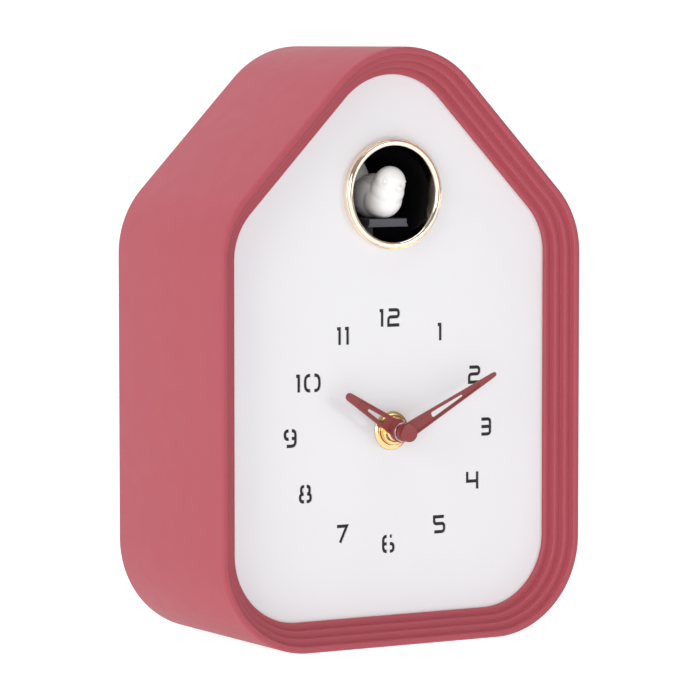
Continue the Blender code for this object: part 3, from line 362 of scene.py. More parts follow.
# Strokes of each stencil digit in a cell one unit wide and high, each with the
# reach of its rounded corners.
SQUARE, SOFT, ROUND, FULL = 0.0, 1.25, 1.8, 3.0
LEFT_HOOK = [(0.37, 1), (0, 1), (0, 0), (0.37, 0)]
RIGHT_HOOK = [(0.63, 1), (1, 1), (1, 0), (0.63, 0)]
DIGITS = {
    "0": [(LEFT_HOOK, FULL), (RIGHT_HOOK, FULL)],
    "1": [([(-0.7, 0.98), (1, 0.98), (1, -0.08)], SQUARE)],
    "2": [([(0, 1), (1, 1), (1, 0.54), (0, 0.54), (0, 0.27)], SOFT),
          ([(0, 0.30), (0, 0), (1.1, 0)], SQUARE)],
    "3": [([(0, 1), (1, 1), (1, 0), (0, 0)], SOFT), ([(0, 0.5), (0.97, 0.5)], SQUARE)],
    "4": [([(0, 1.08), (0, 0.45), (1, 0.45)], SQUARE),
          ([(1, 1.08), (1, -0.08)], SQUARE)],
    "5": [([(1, 1), (0, 1), (0, 0.75)], SQUARE),
          ([(0, 0.78), (0, 0.54), (1, 0.54), (1, 0), (0, 0)], SOFT)],
    "6": [(LEFT_HOOK, ROUND), ([(0, 0.5), (0.37, 0.5)], SQUARE),
          ([(0.63, 1), (0.87, 1)], SQUARE),
          ([(0.63, 0.5), (1, 0.5), (1, 0), (0.63, 0)], ROUND)],
    "7": [([(0, 1), (0.98, 1), (0.32, -0.08)], SQUARE)],
    "8": [([(0.4, 1), (0.1, 1), (0.1, 0.5), (0.36, 0.5)], ROUND),
          ([(0.36, 0.5), (0, 0.5), (0, 0), (0.4, 0)], ROUND),
          ([(0.6, 1), (0.9, 1), (0.9, 0.5), (0.64, 0.5)], ROUND),
          ([(0.64, 0.5), (1, 0.5), (1, 0), (0.6, 0)], ROUND)],
    "9": [([(0.37, 1), (0, 1), (0, 0.46), (0.37, 0.46)], ROUND),
          ([(0.63, 1), (1, 1), (1, 0), (0.14, 0)], ROUND),
          ([(0.63, 0.5), (1, 0.5)], SQUARE)],
}
DIGIT_WIDTHS = {"0": 7.6, "1": 2.05, "3": 5.4}
DIGIT_SPACING = 1.5
# The numerals don't stand quite evenly: how far each is right of and above its
# place on the circle.
NUMERAL_SHIFTS = {1: (0.3, -0.4), 2: (0.3, -1.8), 3: (-0.2, -0.6), 4: (-0.5, 0.4),
                  5: (0.3, 0.0), 6: (-1.0, -0.4), 7: (0.0, -1.1), 8: (-0.2, -0.8),
                  9: (-1.0, -1.0), 10: (1.1, -2.0), 11: (0.4, -0.5), 12: (-0.5, 0.0)}


def numeral_outlines():
    """Every stroke of the twelve numerals, upright on their circle, in two
    sets so that no stroke overlaps another of its set."""
    cell_high = NUMERAL_HEIGHT - NUMERAL_STROKE
    outlines = ([], [])
    for hour in range(1, 13):
        angle = math.radians(90 - 30 * hour)
        widths = [DIGIT_WIDTHS.get(digit, NUMERAL_WIDTH) for digit in str(hour)]
        total = sum(widths) + DIGIT_SPACING * (len(widths) - 1)
        right, up = NUMERAL_SHIFTS[hour]
        left = NUMERAL_RADIUS * math.cos(angle) - total / 2 + right
        foot = HANDS_Z + NUMERAL_RADIUS * math.sin(angle) - cell_high / 2 + up
        for digit, width in zip(str(hour), widths):
            cell_wide = width - NUMERAL_STROKE
            start = left + NUMERAL_STROKE / 2
            for number, (stroke, corner) in enumerate(DIGITS[digit]):
                points = [(start + a * cell_wide, foot + b * cell_high) for a, b in stroke]
                path = rounded_path(points, corner)
                outlines[number % 2].append(ribbon(path, NUMERAL_STROKE))
            left += width + DIGIT_SPACING
    return outlines


# ---------------------------------------------------------------- materials
def shader_material(name, colour, roughness, metallic=0.0):
    material = bpy.data.materials.new(name)
    material.use_nodes = True
    shader = material.node_tree.nodes["Principled BSDF"]
    shader.inputs["Base Color"].default_value = (*colour, 1.0)
    shader.inputs["Roughness"].default_value = roughness
    shader.inputs["Metallic"].default_value = metallic
    return material, shader


def add_noise(material, scale, detail=3.0, stretch=(1, 1, 1)):
    """Noise in the piece's own coordinates; scale is in bumps per metre."""
    nodes, links = material.node_tree.nodes, material.node_tree.links
    coordinates = nodes.new("ShaderNodeTexCoord")
    mapping = nodes.new("ShaderNodeMapping")
    mapping.inputs["Scale"].default_value = stretch
    noise = nodes.new("ShaderNodeTexNoise")
    noise.inputs["Scale"].default_value = scale
    noise.inputs["Detail"].default_value = detail
    links.new(coordinates.outputs["Object"], mapping.inputs["Vector"])
    links.new(mapping.outputs["Vector"], noise.inputs["Vector"])
    return noise.outputs["Fac"]


def vary_colour(material, shader, colour, factor, spread):
    """Let the base colour drift a little either side of its value."""
    nodes, links = material.node_tree.nodes, material.node_tree.links
    ramp = nodes.new("ShaderNodeValToRGB")
    dark, light = ramp.color_ramp.elements
    dark.position, light.position = 0.3, 0.7
    dark.color = (*[max(0.0, c * (1 - spread)) for c in colour], 1.0)
    light.color = (*[min(1.0, c * (1 + spread)) for c in colour], 1.0)
    links.new(factor, ramp.inputs["Fac"])
    links.new(ramp.outputs["Color"], shader.inputs["Base Color"])


def vary_roughness(material, shader, roughness, factor, spread):
    nodes, links = material.node_tree.nodes, material.node_tree.links
    reach = nodes.new("ShaderNodeMapRange")
    reach.inputs["From Min"].default_value = 0.3
    reach.inputs["From Max"].default_value = 0.7
    reach.inputs["To Min"].default_value = max(0.02, roughness - spread)
    reach.inputs["To Max"].default_value = min(1.0, roughness + spread)
    links.new(factor, reach.inputs["Value"])
    links.new(reach.outputs["Result"], shader.inputs["Roughness"])


def add_bump(material, shader, factor, height_mm, strength=1.0):
    nodes, links = material.node_tree.nodes, material.node_tree.links
    bump = nodes.new("ShaderNodeBump")
    bump.inputs["Strength"].default_value = strength
    bump.inputs["Distance"].default_value = height_mm * MM
    links.new(factor, bump.inputs["Height"])
    links.new(bump.outputs["Normal"], shader.inputs["Normal"])


def plastic(name, colour, roughness, grain=2600.0, grain_height=0.008, drift=0.03,
            coat=0.0, specular=0.5):
    """Moulded plastic: a fine spark-eroded grain and a slow drift in colour."""
    material, shader = shader_material(name, colour, roughness)
    shader.inputs["Specular IOR Level"].default_value = specular
    shader.inputs["Coat Weight"].default_value = coat
    shader.inputs["Coat Roughness"].default_value = 0.15
    vary_colour(material, shader, colour, add_noise(material, 28.0, 2.0), drift)
    vary_roughness(material, shader, roughness, add_noise(material, 140.0, 4.0), 0.03)
    if grain_height:
        add_bump(material, shader, add_noise(material, grain, 2.0), grain_height)
    return material


def metal(name, colour, roughness, stretch=(1, 1, 1), grain=1500.0, spread=0.04,
          height=0.002):
    """Metal with fine polishing marks, drawn out along an axis by stretch."""
    material, shader = shader_material(name, colour, roughness, 1.0)
    marks = add_noise(material, grain, 4.0, stretch)
    vary_colour(material, shader, colour, add_noise(material, 90.0, 2.0), 0.04)
    vary_roughness(material, shader, roughness, marks, spread)
    if height:
        add_bump(material, shader, marks, height)
    return material


def wound_wire(name, colour):
    """Enamelled wire wound on a bobbin: close ridges across its axis, with painted shade in the
    grooves between turns and painted light on their crests.
    """
    material, shader = shader_material(name, colour, 0.3, 0.9)
    nodes, links = material.node_tree.nodes, material.node_tree.links
    coordinates = nodes.new("ShaderNodeTexCoord")
    wave = nodes.new("ShaderNodeTexWave")
    wave.bands_direction = "X"
    wave.inputs["Scale"].default_value = 1500.0
    wave.inputs["Distortion"].default_value = 0.6
    links.new(coordinates.outputs["Object"], wave.inputs["Vector"])
    # painted shade and light: the colour follows the ridges, darker in the grooves and lighter on
    # the crests
    vary_colour(material, shader, colour, wave.outputs["Fac"], 0.25)
    add_bump(material, shader, wave.outputs["Fac"], 0.03)
    return material


def porcelain(name, colour, roughness):
    """Glazed white that lets a little light through."""
    material = plastic(name, colour, roughness, 1500.0, 0.003, 0.01, 0.3)
    shader = material.node_tree.nodes["Principled BSDF"]
    shader.inputs["Subsurface Weight"].default_value = 0.35
    shader.inputs["Subsurface Radius"].default_value = (1.0, 0.9, 0.85)
    shader.inputs["Subsurface Scale"].default_value = 4.0 * MM
    return material


def make_materials():
    """One material for each of the record's slots, under the slot's name."""
    return {
        "rose_plastic": plastic("rose_plastic", (0.395, 0.068, 0.090), 0.56, 2400.0, 0.005,
                                0.006, specular=0.35),
        "dial_white": plastic("dial_white", (0.78, 0.77, 0.79), 0.46, 1800.0, 0.002, 0.008),
        "black_plastic": plastic("black_plastic", (0.014, 0.014, 0.015), 0.5, 2200.0, 0.02,
                                 0.15, specular=0.3),
        "gloss_black": plastic("gloss_black", (0.006, 0.006, 0.0065), 0.24, 0, 0, 0.1),
        "ring_gold": metal("ring_gold", (0.96, 0.84, 0.70), 0.08, (1, 1, 1), 300.0, 0.015, 0.0),
        "brass": metal("brass", (0.90, 0.66, 0.33), 0.17, (1, 6, 1), 1500.0, 0.03, 0.0006),
        "steel": metal("steel", (0.60, 0.60, 0.61), 0.32, (1, 12, 1)),
        "bird_white": porcelain("bird_white", (0.88, 0.875, 0.87), 0.30),
        "perch_grey": plastic("perch_grey", (0.050, 0.050, 0.062), 0.38, 2600.0, 0.006),
        "nylon": plastic("nylon", (0.72, 0.71, 0.66), 0.42, 2000.0, 0.006),
        "magnet": metal("magnet", (0.12, 0.12, 0.13), 0.4),
        "copper_winding": wound_wire("copper_winding", (0.60, 0.22, 0.08)),
        "hand_red": plastic("hand_red", (0.25, 0.033, 0.033), 0.34, 2600.0, 0.003, 0.03,
                            specular=0.45),
        "battery_label": plastic("battery_label", (0.13, 0.18, 0.25), 0.28, 0, 0, 0.1, 0.4),
        "board_green": plastic("board_green", (0.015, 0.12, 0.045), 0.35, 900.0, 0.02, 0.25,
                               0.3),
        "paper_cone": plastic("paper_cone", (0.040, 0.040, 0.044), 0.85, 900.0, 0.05, 0.3),
        "lead_red": plastic("lead_red", (0.48, 0.025, 0.025), 0.42, 1200.0, 0.01),
    }


MATERIALS = make_materials()


def show(obj, slot, body, *nodes):
    """Give a piece its material and its body, and hide the CAD nodes it stands for."""
    obj.data.materials.clear()
    obj.data.materials.append(MATERIALS[slot])
    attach(obj, body)
    if nodes:
        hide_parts(*nodes)
    return obj


# ---------------------------------------------------------------- case and dial
def boss_places():
    """Where the cover's screws go: inside every corner but the ridge."""
    places = []
    for index in (0, 1, 2, 4):
        centre, radius, start, end = house_corners()[index]
        middle = (start + end) / 2
        places.append((centre[0] + (radius - BOSS_REACH) * math.cos(middle),
                       centre[1] + (radius - BOSS_REACH) * math.sin(middle)))
    return places


def make_case():
    """One moulding: walls, and a bezel that steps inwards in four bands."""
    corners = [(0.0, DEPTH, 0.7), (0.0, 0.0, 1.2)]
    for step in range(1, len(BAND_DEPTHS)):
        corners.append((step * BAND, BAND_DEPTHS[step - 1], LIP))
        corners.append((step * BAND, BAND_DEPTHS[step], NOOK))
    lip_back = DIAL_FRONT - 0.04
    corners += [(4 * BAND, BAND_DEPTHS[3], LIP), (4 * BAND, lip_back, 0.0),
                (WALL, lip_back, 0.4), (WALL, DEPTH, 0.6)]
    profile = filleted(corners)
    rings = [[world(u, v, depth) for u, v in house_outline(inset)] for inset, depth in profile]
    case = smooth(loft("case_moulding", rings, loop=True), 32)
    show(case, "rose_plastic", "case", "case_shell")
    near, far, bore = DIAL_FRONT + 4.0, COVER_FRONT - 0.3, 1.7
    for number, place in enumerate(boss_places(), 1):
        profile = [(bore, near), (BOSS_RADIUS, near), (BOSS_RADIUS, far - 0.3),
                   (BOSS_RADIUS - 0.3, far), (bore, far)]
        show(smooth(lathe(f"case_boss_{number}", profile, place, 40, loop=True)),
             "rose_plastic", "case")


def dial_holes():
    """Tools for the window and the bush, which pass through both sheets."""
    return [prism("tool_window", circle((0, WINDOW_Z), WINDOW_HOLE, 96), 0, 30),
            prism("tool_bush", circle((0, HANDS_Z), BUSH_HOLE, 48), 0, 30)]


def make_dial():
    """A white plate with the numerals cut through it, on a black sheet."""
    plate = prism("dial_face", house_outline(DIAL_EDGE), DIAL_FRONT, DIAL_BACK)
    tools = dial_holes()
    for number, strokes in enumerate(numeral_outlines(), 1):
        tools.append(prisms(f"tool_strokes_{number}", strokes, 0, 30))
    cut(plate, *tools)
    show(smooth(plate, 30), "dial_white", "case", "dial_plate")

    sheet = prism("backing_sheet", house_outline(DIAL_EDGE), DIAL_BACK + 0.02, BACKING_BACK)
    cut(sheet, *dial_holes())
    show(smooth(sheet, 30), "black_plastic", "case", "dial_backing")


def make_ring():
    """A polished half-round bead on a plain collar, a fine groove between."""
    front, inner = RING_LOW[1], RING_OUTER - 2.9
    bead = (RING_OUTER - inner - 0.25) / 2
    middle = (inner + bead, front + bead)
    foot, collar_top, barrel = DIAL_FRONT - 0.02, middle[1] - 0.35, inner + 0.9
    profile = [(RING_OUTER, foot), (RING_OUTER, collar_top)]
    profile += arc((RING_OUTER - 0.2, collar_top), 0.2, 0.0, -math.pi / 2, 4)
    profile += [(RING_OUTER - 0.3, middle[1] - 0.3)]
    profile += arc(middle, bead, math.radians(-15), math.radians(-180), 22)
    profile += [(inner, BACKING_BACK), (barrel, BACKING_BACK), (barrel, foot)]
    ring = lathe("gold_ring", profile, (0, WINDOW_Z), 160, loop=True)
    show(smooth(ring, 50), "ring_gold", "case", "window_ring")


# ---------------------------------------------------------------- bird
def make_chamber():
    """A gloss cup open to the window, slotted below for the perch's stem."""
    outer, wall = (CHAMBER_HIGH[0] - CHAMBER_LOW[0]) / 2, 1.5
    near, far = CHAMBER_LOW[1], CHAMBER_HIGH[1]
    inner = outer - wall
    profile = filleted([(0, far, 0), (outer, far, 1.5), (outer, near, 0.3), (inner, near, 0.3),
                        (inner, far - wall, 2.5), (0, far - wall, 0)], closed=False, steps=6)
    cup = lathe("chamber_cup", profile, (0, WINDOW_Z), 96)
    slot_end = 46.2
    slot = prism("tool_slot", rectangle((-2.5, 2.5), (WINDOW_Z - outer - 2, WINDOW_Z - inner + 3)),
                 near + 1.0, slot_end)
    show(smooth(cut(cup, slot), 40), "gloss_black", "case", "bird_chamber")


def add_ellipsoid(bm, centre, radii, tilt):
    """An ellipsoid at (u, depth, v), tilted about X."""
    grown = bmesh.ops.create_uvsphere(bm, u_segments=48, v_segments=32, radius=1.0)
    place = Matrix.Translation(world(centre[0], centre[2], centre[1]))
    shape = Matrix.Diagonal((*[radius * MM for radius in radii], 1.0))
    lean = Matrix.Rotation(tilt, 4, "X")
    bmesh.ops.transform(bm, matrix=place @ lean @ shape, verts=grown["verts"])


def make_bird():
    """Head, breast, body and fan tail blended into one smooth glazed figure."""
    bm = bmesh.new()
    for centre, radii, tilt in (
            ((0, 24.0, 172.5), (7.5, 12.8, 8.6), -7),       # body
            ((0, 17.6, 171.4), (7.3, 8.9, 7.5), 0),         # breast
            ((0, 14.2, 174.8), (6.6, 7.4, 6.6), 12),        # neck
            ((0, 11.8, 178.0), (5.9, 6.5, 6.2), 10),        # head
            ((0, 36.5, 178.8), (5.4, 1.7, 8.6), -12),       # fan tail
            ((0, 6.1, 176.4), (1.6, 2.7, 1.25), 28),        # beak
            ((-5.7, 24.5, 173.6), (1.7, 9.0, 4.6), -12),    # wings
            ((5.7, 24.5, 173.6), (1.7, 9.0, 4.6), -12)):
        add_ellipsoid(bm, centre, radii, math.radians(tilt))
    bird = new_object("bird_figure", bm)
    blend = bird.modifiers.new("blend", "REMESH")
    blend.mode = "VOXEL"
    blend.voxel_size = 0.26 * MM
    soften = bird.modifiers.new("soften", "SMOOTH")
    soften.factor = 0.5
    soften.iterations = 16
    settle(bird)
    # a round eye with a ring pressed in round it, on either side of the head
    for side in (-1, 1):
        press_ring(bird, (side * 4.9, 8.3, 178.6), 1.0, 0.34, 0.52)
    # a flat foot, just clear of the perch
    cut(bird, prism("tool_base", rectangle((-12, 12), (150, PERCH_TOP + 0.35)), 0, 60))
    show(smooth(bird, 60), "bird_white", "bird_carriage", "bird")


def press_ring(obj, centre, radius, width, deep):
    """Press a ring-shaped groove round a point of a dense mesh."""
    middle = world(centre[0], centre[2], centre[1])
    for vertex in obj.data.vertices:
        distance = (vertex.co - middle).length / MM
        if distance < radius + 3 * width:
            share = math.exp(-((distance - radius) / width) ** 2)
            vertex.co -= vertex.normal * share * deep * MM


def make_perch():
    """The waisted plate that the bird sits on, its stem and its rack."""
    low, high = node_box("bird_carriage")
    top, under, waist = 8.45, high[0], 8.15
    middle = (PERCH_BASE + PERCH_TOP) / 2
    outline = [(-under, PERCH_BASE), (under, PERCH_BASE), (waist + 0.2, middle),
               (top, PERCH_TOP), (-top, PERCH_TOP), (-waist - 0.2, middle)]
    plate = ease(prism("perch_plate", outline, low[1], 45.0), 0.25)
    show(plate, "perch_grey", "bird_carriage", "bird_carriage")
    stem = prism("perch_stem", rectangle((-1.8, 1.8), (150.0, PERCH_BASE + 0.1)), 27.4, 45.4)
    show(ease(stem, 0.2), "perch_grey", "bird_carriage")
    show(make_rack(), "perch_grey", "bird_carriage")


def make_rack():
    """The toothed bar under the perch; teeth face down."""
    pitch = math.pi * RACK_MODULE
    tip, root = RACK_PITCH_Z - 0.8 * RACK_MODULE, RACK_PITCH_Z + 1.2 * RACK_MODULE
    first_gap = PINION_DEPTH - pitch
    start, end = first_gap + pitch / 2 - 6.5, first_gap + RACK_TEETH * pitch + 0.5
    points = [(start, RACK_TOP), (start, root)]
    for tooth in range(RACK_TEETH):
        middle = first_gap + (tooth + 0.5) * pitch
        points += [(middle - 0.30 * pitch, root), (middle - 0.11 * pitch, tip),
                   (middle + 0.11 * pitch, tip), (middle + 0.30 * pitch, root)]
    points += [(end, root), (end, RACK_TOP)]
    bar = extruded("perch_rack", [world(-RACK_HALF_WIDTH, v, depth) for depth, v in points],
                   (2 * RACK_HALF_WIDTH * MM, 0, 0))
    return smooth(bar, 30)


# ---------------------------------------------------------------- hands and hub
def turned_points(points, angle):
    cos, sin = math.cos(angle), math.sin(angle)
    return [(a * cos - b * sin, HANDS_Z + a * sin + b * cos) for a, b in points]


def blade_outline(tip, hub_half, tip_half, steps=14):
    points = [(0.0, -hub_half)]
    points += arc((tip - tip_half, 0), tip_half, -math.pi / 2, math.pi / 2, steps)
    return points + [(0.0, hub_half)]


def make_hand(name, angle, body, blade, depths, hub, panel, slot):
    """A slotted hand with a raised border round a sunk panel. blade is (tip,
    half width at hub, half width at tip), panel is (start, end, border, sink),
    and slot is (near, far, half width near, half width far). A hand's CAD node
    has the same name as its body."""
    front, back = depths
    tip, hub_half, tip_half = blade
    blade = prism(name, turned_points(blade_outline(tip, hub_half, tip_half), angle),
                  front, back)
    start, end, border, sink = panel

    def half_at(reach):
        return hub_half + (tip_half - hub_half) * reach / tip - border

    sunk = [(start, -half_at(start)), (end, -half_at(end)), (end, half_at(end)),
            (start, half_at(start))]
    near, far, near_half, far_half = slot
    hole = filleted([(near, -near_half, near_half * 0.7), (far, -far_half, far_half * 0.9),
                     (far, far_half, far_half * 0.9), (near, near_half, near_half * 0.7)])
    bore = circle((0, HANDS_Z), hub[0][0], 48)
    cut(blade, prism("tool_panel", turned_points(sunk, angle), front - 1, front + sink),
        prism("tool_slot", turned_points(hole, angle), front - 3, back + 3),
        prism("tool_bore", bore, front - 3, back + 3))
    ease(blade, 0.26, 4, clamp=False)
    show(blade, "hand_red", body, body)
    collar = lathe(name + "_hub", filleted(hub, steps=4), (0, HANDS_Z), 72, loop=True)
    show(smooth(collar, 50), "hand_red", body)


def make_hands():
    """Both hands, the cap in front and the steel tube end behind."""
    hour_hub = [(2.8, 2.4, 0), (2.8, 4.4, 0), (4.1, 4.4, 0.2), (4.1, 2.75, 0.2), (3.6, 2.4, 0.15)]
    make_hand("hour_blade", HOUR_ANGLE, "hour_hand", (28.8, 3.5, 1.6), (2.7, 3.7),
              hour_hub, (4.6, 22.3, 0.72, 0.55), (8.4, 17.3, 1.15, 0.5))
    minute_hub = [(1.9, 1.3, 0), (3.5, 1.3, 0.25), (3.5, 0.35, 0.2), (2.7, 0.1, 0.1),
                  (2.7, -0.7, 0.1), (1.9, -0.7, 0)]
    make_hand("minute_blade", MINUTE_ANGLE, "minute_hand", (46.2, 3.2, 0.9), (-0.4, 0.5),
              minute_hub, (4.0, 37.5, 0.64, 0.50), (13.4, 28.9, 1.1, 0.4))
    cap = [(0, -3.4, 0), (3.4, -3.4, 0.25), (3.4, -2.2, 0.2), (2.7, -2.05, 0.1),
           (2.7, -1.0, 0.05), (1.9, -1.0, 0), (1.9, -2.0, 0), (0, -2.0, 0)]
    piece = lathe("cap_disc", filleted(cap, closed=False), (0, HANDS_Z), 72)
    show(smooth(piece, 50), "hand_red", "minute_hand", "hand_cap")
    ring = [(2.55, 1.7, 0.05), (3.75, 1.7, 0.2), (3.75, 2.35, 0.2), (2.55, 2.35, 0)]
    show(smooth(lathe("hour_tube_end", filleted(ring), (0, HANDS_Z), 60, loop=True), 50),
         "steel", "hour_hand")


def make_hub():
    """Brass washer, slotted round nut and threaded bush."""
    centre = (0, HANDS_Z)
    washer = [(4.3, 10.7, 0), (7.5, 10.7, 0.25), (7.5, 10.2, 0.3), (6.5, 9.65, 0.5),
              (5.6, 9.6, 0.3), (5.2, 9.95, 0.2), (4.3, 9.95, 0)]
    show(smooth(lathe("washer", filleted(washer), centre, 96, loop=True), 50),
         "brass", "case", "dial_washer")
    nut = [(4.3, 9.3, 0), (5.5, 9.3, 0.15), (5.5, 7.5, 0.45), (4.9, 7.05, 0.2), (4.3, 7.05, 0)]
    body = lathe("round_nut", filleted(nut), centre, 96, loop=True)
    for side in (-1, 1):
        cut(body, prism("tool_nut", rectangle((side * 5.1 - 0.7, side * 5.1 + 0.7),
                                              (HANDS_Z - 0.7, HANDS_Z + 0.7)), 6.0, 8.3))
    show(smooth(body, 40), "brass", "case", "dial_nut")
    # the bush's thread is a row of fine ridges outside the nut
    profile = [(2.8, 5.5), (3.7, 5.5)]
    pitch, ridges = 0.5, 16
    for ridge in range(ridges):
        depth = 5.8 + ridge * pitch
        profile += [(4.0, depth), (3.78, depth + pitch / 2)]
    profile += [(4.0, 13.9), (4.0, 16.0), (5.2, 16.0), (5.2, 17.0), (2.8, 17.0)]
    show(smooth(lathe("threaded_bush", profile, centre, 72, loop=True), 30),
         "brass", "case", "centre_bush")


# ---------------------------------------------------------------- back of the clock
def middle_of(node):
    """A node's (u, v) as seen from the front or the back."""
    low, high = node_box(node)
    return (low[0] + high[0]) / 2, (low[2] + high[2]) / 2


def speaker_slots():
    """Rounded slots whose ends lie on a circle."""
    pitch, half_high = 3.8, 0.9
    slots = []
    for row in range(-4, 5):
        v = SPEAKER_Z + row * pitch
        reach = math.sqrt(SPEAKER_RADIUS ** 2 - (row * pitch) ** 2)
        slots.append(rounded_rectangle((-reach, reach), (v - half_high, v + half_high), 0.85))
    return slots


def keyhole_outline():
    """A round for a screw's head with a narrower slot above it."""
    head, neck, rise = 4.3, 2.1, 9.0
    return [(-neck, KEYHOLE_Z)] + arc((0, KEYHOLE_Z + rise), neck, math.pi, 0, 16) \
        + [(neck, KEYHOLE_Z)] \
        + arc((0, KEYHOLE_Z), head, math.radians(60), math.radians(-240), 48)


def make_back():
    """The rear cover with its battery tray, openings and door rails."""
    near, far = COVER_FRONT, COVER_BACK
    half, low, high, shell = TRAY_HALF_WIDTH, TRAY_LOW, TRAY_HIGH, 1.5
    cover = prism("back_panel", house_outline(WALL + 0.3), near, far)
    join(cover, prism("tool_tray", rectangle((-half - shell, half + shell),
                                             (low - shell, high + shell)),
                      TRAY_FLOOR - shell, near + 0.5))
    through = (near - 1, far + 1)
    tools = [prism("tool_pocket", rectangle((-half, half), (low, high)), TRAY_FLOOR, far + 1),
             prisms("tool_slots", speaker_slots(), *through),
             prism("tool_keyhole", keyhole_outline(), *through)]
    knob_u, volume_u, button_u = (middle_of(node)[0] for node in
                                  ("setting_knob", "volume_knob", "test_button"))
    for u, v, radius in ((knob_u, HANDS_Z, 2.0), (volume_u, CONTROLS_Z, 2.3),
                         (button_u, CONTROLS_Z, 3.5)):
        tools.append(prism("tool_hole", circle((u, v), radius, 40), *through))
    tools.append(prism("tool_switch", rounded_rectangle(
        (-6.5, 4.5), (CONTROLS_Z - 1.8, CONTROLS_Z + 1.8), 0.6), *through))
    for place in boss_places():
        tools.append(prism("tool_screw", circle(place, 2.0, 32), *through))
    cut(cover, *tools)
    ease(cover, 0.25, 2, 50)
    show(cover, "black_plastic", "case", "rear_cover")

    lip, wall, outer = half + 0.6, half + 2.1, half + 3.6
    foot, under, top = far - 0.2, 81.2, 82.4
    for name, side in (("left", -1), ("right", 1)):
        hook = [(wall, foot), (outer, foot), (outer, top), (lip, top), (lip, under),
                (wall, under)]
        rail = extruded(f"door_rail_{name}",
                        [world(side * u, low + 1, depth) for u, depth in hook],
                        (0, 0, (high - low - 2) * MM))
        show(ease(rail, 0.2, 2), "black_plastic", "case")


def make_door():
    """A sliding door with five grip ridges and an arrow that shows its way."""
    low, high = node_box("battery_door")
    face = low[1] + 1.5
    door = prism("door_panel", rounded_rectangle((low[0], high[0]), (low[2], high[2]), 1.2),
                 low[1], face)
    for number in range(5):
        v = 63.0 - number * 2.2
        ridge = rounded_rectangle((-9, 9), (v - 0.55, v + 0.55), 0.5)
        join(door, prism("tool_ridge", ridge, low[1] + 1.0, high[1]))
    arrow = [(-4.0, 48.6), (-3.1, 48.6), (0.0, 45.2), (3.1, 48.6), (4.0, 48.6), (0.0, 44.2)]
    cut(door, prism("tool_arrow", arrow, face - 0.35, face + 1))
    show(ease(door, 0.22, 2), "black_plastic", "battery_door", "battery_door")


def knurled(name, node, body, slot, mark, ridges=36):
    """A ribbed thumb knob with a rounded face. mark cuts a pointer line in the
    face, which is otherwise dished."""
    low, high = node_box(node)
    u, v = middle_of(node)
    radius = (high[0] - low[0]) / 2
    near = COVER_BACK + (0.8 if mark else 1.0)
    far = high[1]
    rings = []
    profile = filleted([(0, near, 0), (radius, near, 0.3), (radius, far, 0.7), (0, far, 0)],
                       closed=False, steps=5)
    steps, groove = ridges * 8, 0.28
    for reach, depth in profile:
        ring = []
        for i in range(steps):
            angle = math.tau * i / steps
            ripple = groove * (0.5 + 0.5 * math.cos(ridges * angle)) * reach / radius
            ring.append(world(u + (reach - ripple) * math.cos(angle),
                              v + (reach - ripple) * math.sin(angle), depth))
        rings.append(ring)
    knob = loft(name, rings)
    if mark:
        cut(knob, prism("tool_mark", rectangle((u - 0.4, u + 0.4), (v + 1.4, v + radius - 0.9)),
                        far - 0.45, far + 1))
    else:
        cut(knob, prism("tool_face", circle((u, v), radius - 1.3, 60), far - 0.4, far + 1))
    show(smooth(knob, 40), slot, body, node)
    return u, v


def make_controls():
    """The time knob and the volume wheel, with the wheel's shaft."""
    knurled("time_knob", "setting_knob", "setting_knob", "nylon", False, 30)
    place = knurled("volume_wheel", "volume_knob", "volume_knob", "black_plastic", True)
    shaft = lathe("volume_shaft", [(0, 72.3), (1.9, 72.3), (1.9, 80.0), (0, 80.0)], place, 40)
    show(smooth(shaft), "black_plastic", "volume_knob")


def make_switch():
    """A flat slider with one upright rib for a fingernail."""
    low, high = node_box("chime_switch")
    face, rib_u = 80.6, middle_of("chime_switch")[0]
    slider = prism("switch_slider", rectangle((low[0], high[0]), (low[2], high[2])), low[1], face)
    join(slider, prism("tool_rib", rectangle((rib_u - 0.7, rib_u + 0.7), (low[2], high[2])),
                       face - 0.4, high[1]))
    show(ease(slider, 0.15, 2), "black_plastic", "chime_switch", "chime_switch")


def make_button():
    """A domed cap with a flange that keeps it behind the cover."""
    profile = filleted([(0, 80.95, 0), (1.6, 81.0, 0.8), (2.5, 81.2, 0.2), (3.1, 80.6, 0.5),
                        (3.1, 76.0, 0), (4.4, 76.0, 0.2), (4.4, 74.6, 0.2), (1.2, 74.6, 0),
                        (1.2, 72.6, 0.1), (0, 72.6, 0)], closed=False)
    show(smooth(lathe("button_cap", profile, middle_of("test_button"), 60), 40),
         "black_plastic", "test_button", "test_button")


def make_screws():
    """Four pan-head screws, each with a cross cut in its head."""
    head = COVER_BACK + 0.3
    arm, half = 1.8, 0.35
    for number, place in enumerate(boss_places(), 1):
        profile = filleted([(0, 81.0, 0), (2.3, 80.95, 0.5), (3.1, 80.3, 0.3), (3.1, head, 0.1),
                            (1.4, head, 0), (1.4, 68.0, 0), (0.5, 66.5, 0), (0, 66.5, 0)],
                           closed=False)
        screw = lathe(f"panel_screw_{number}", profile, place, 48)
        u, v = place
        for reach_u, reach_v in ((arm, half), (half, arm)):
            cut(screw, prism("tool_cross", rectangle((u - reach_u, u + reach_u),
                                                     (v - reach_v, v + reach_v)), 80.1, 82))
        show(smooth(screw, 35), "steel", "case", f"cover_screw_{number}")


# ---------------------------------------------------------------- carried-over CAD nodes
def finish_cad_nodes():
    """Every CAD node still showing gets its slot's procedural material."""
    for part in frame["record"]["subparts"]:
        node = frame["nodes"][part["node"]]
        node.data.materials.clear()
        node.data.materials.append(MATERIALS[part["material_slot"]])


# ---------------------------------------------------------------- studio
def look_at(obj, target):
    obj.rotation_euler = (target - obj.location).to_track_quat("-Z", "Y").to_euler()


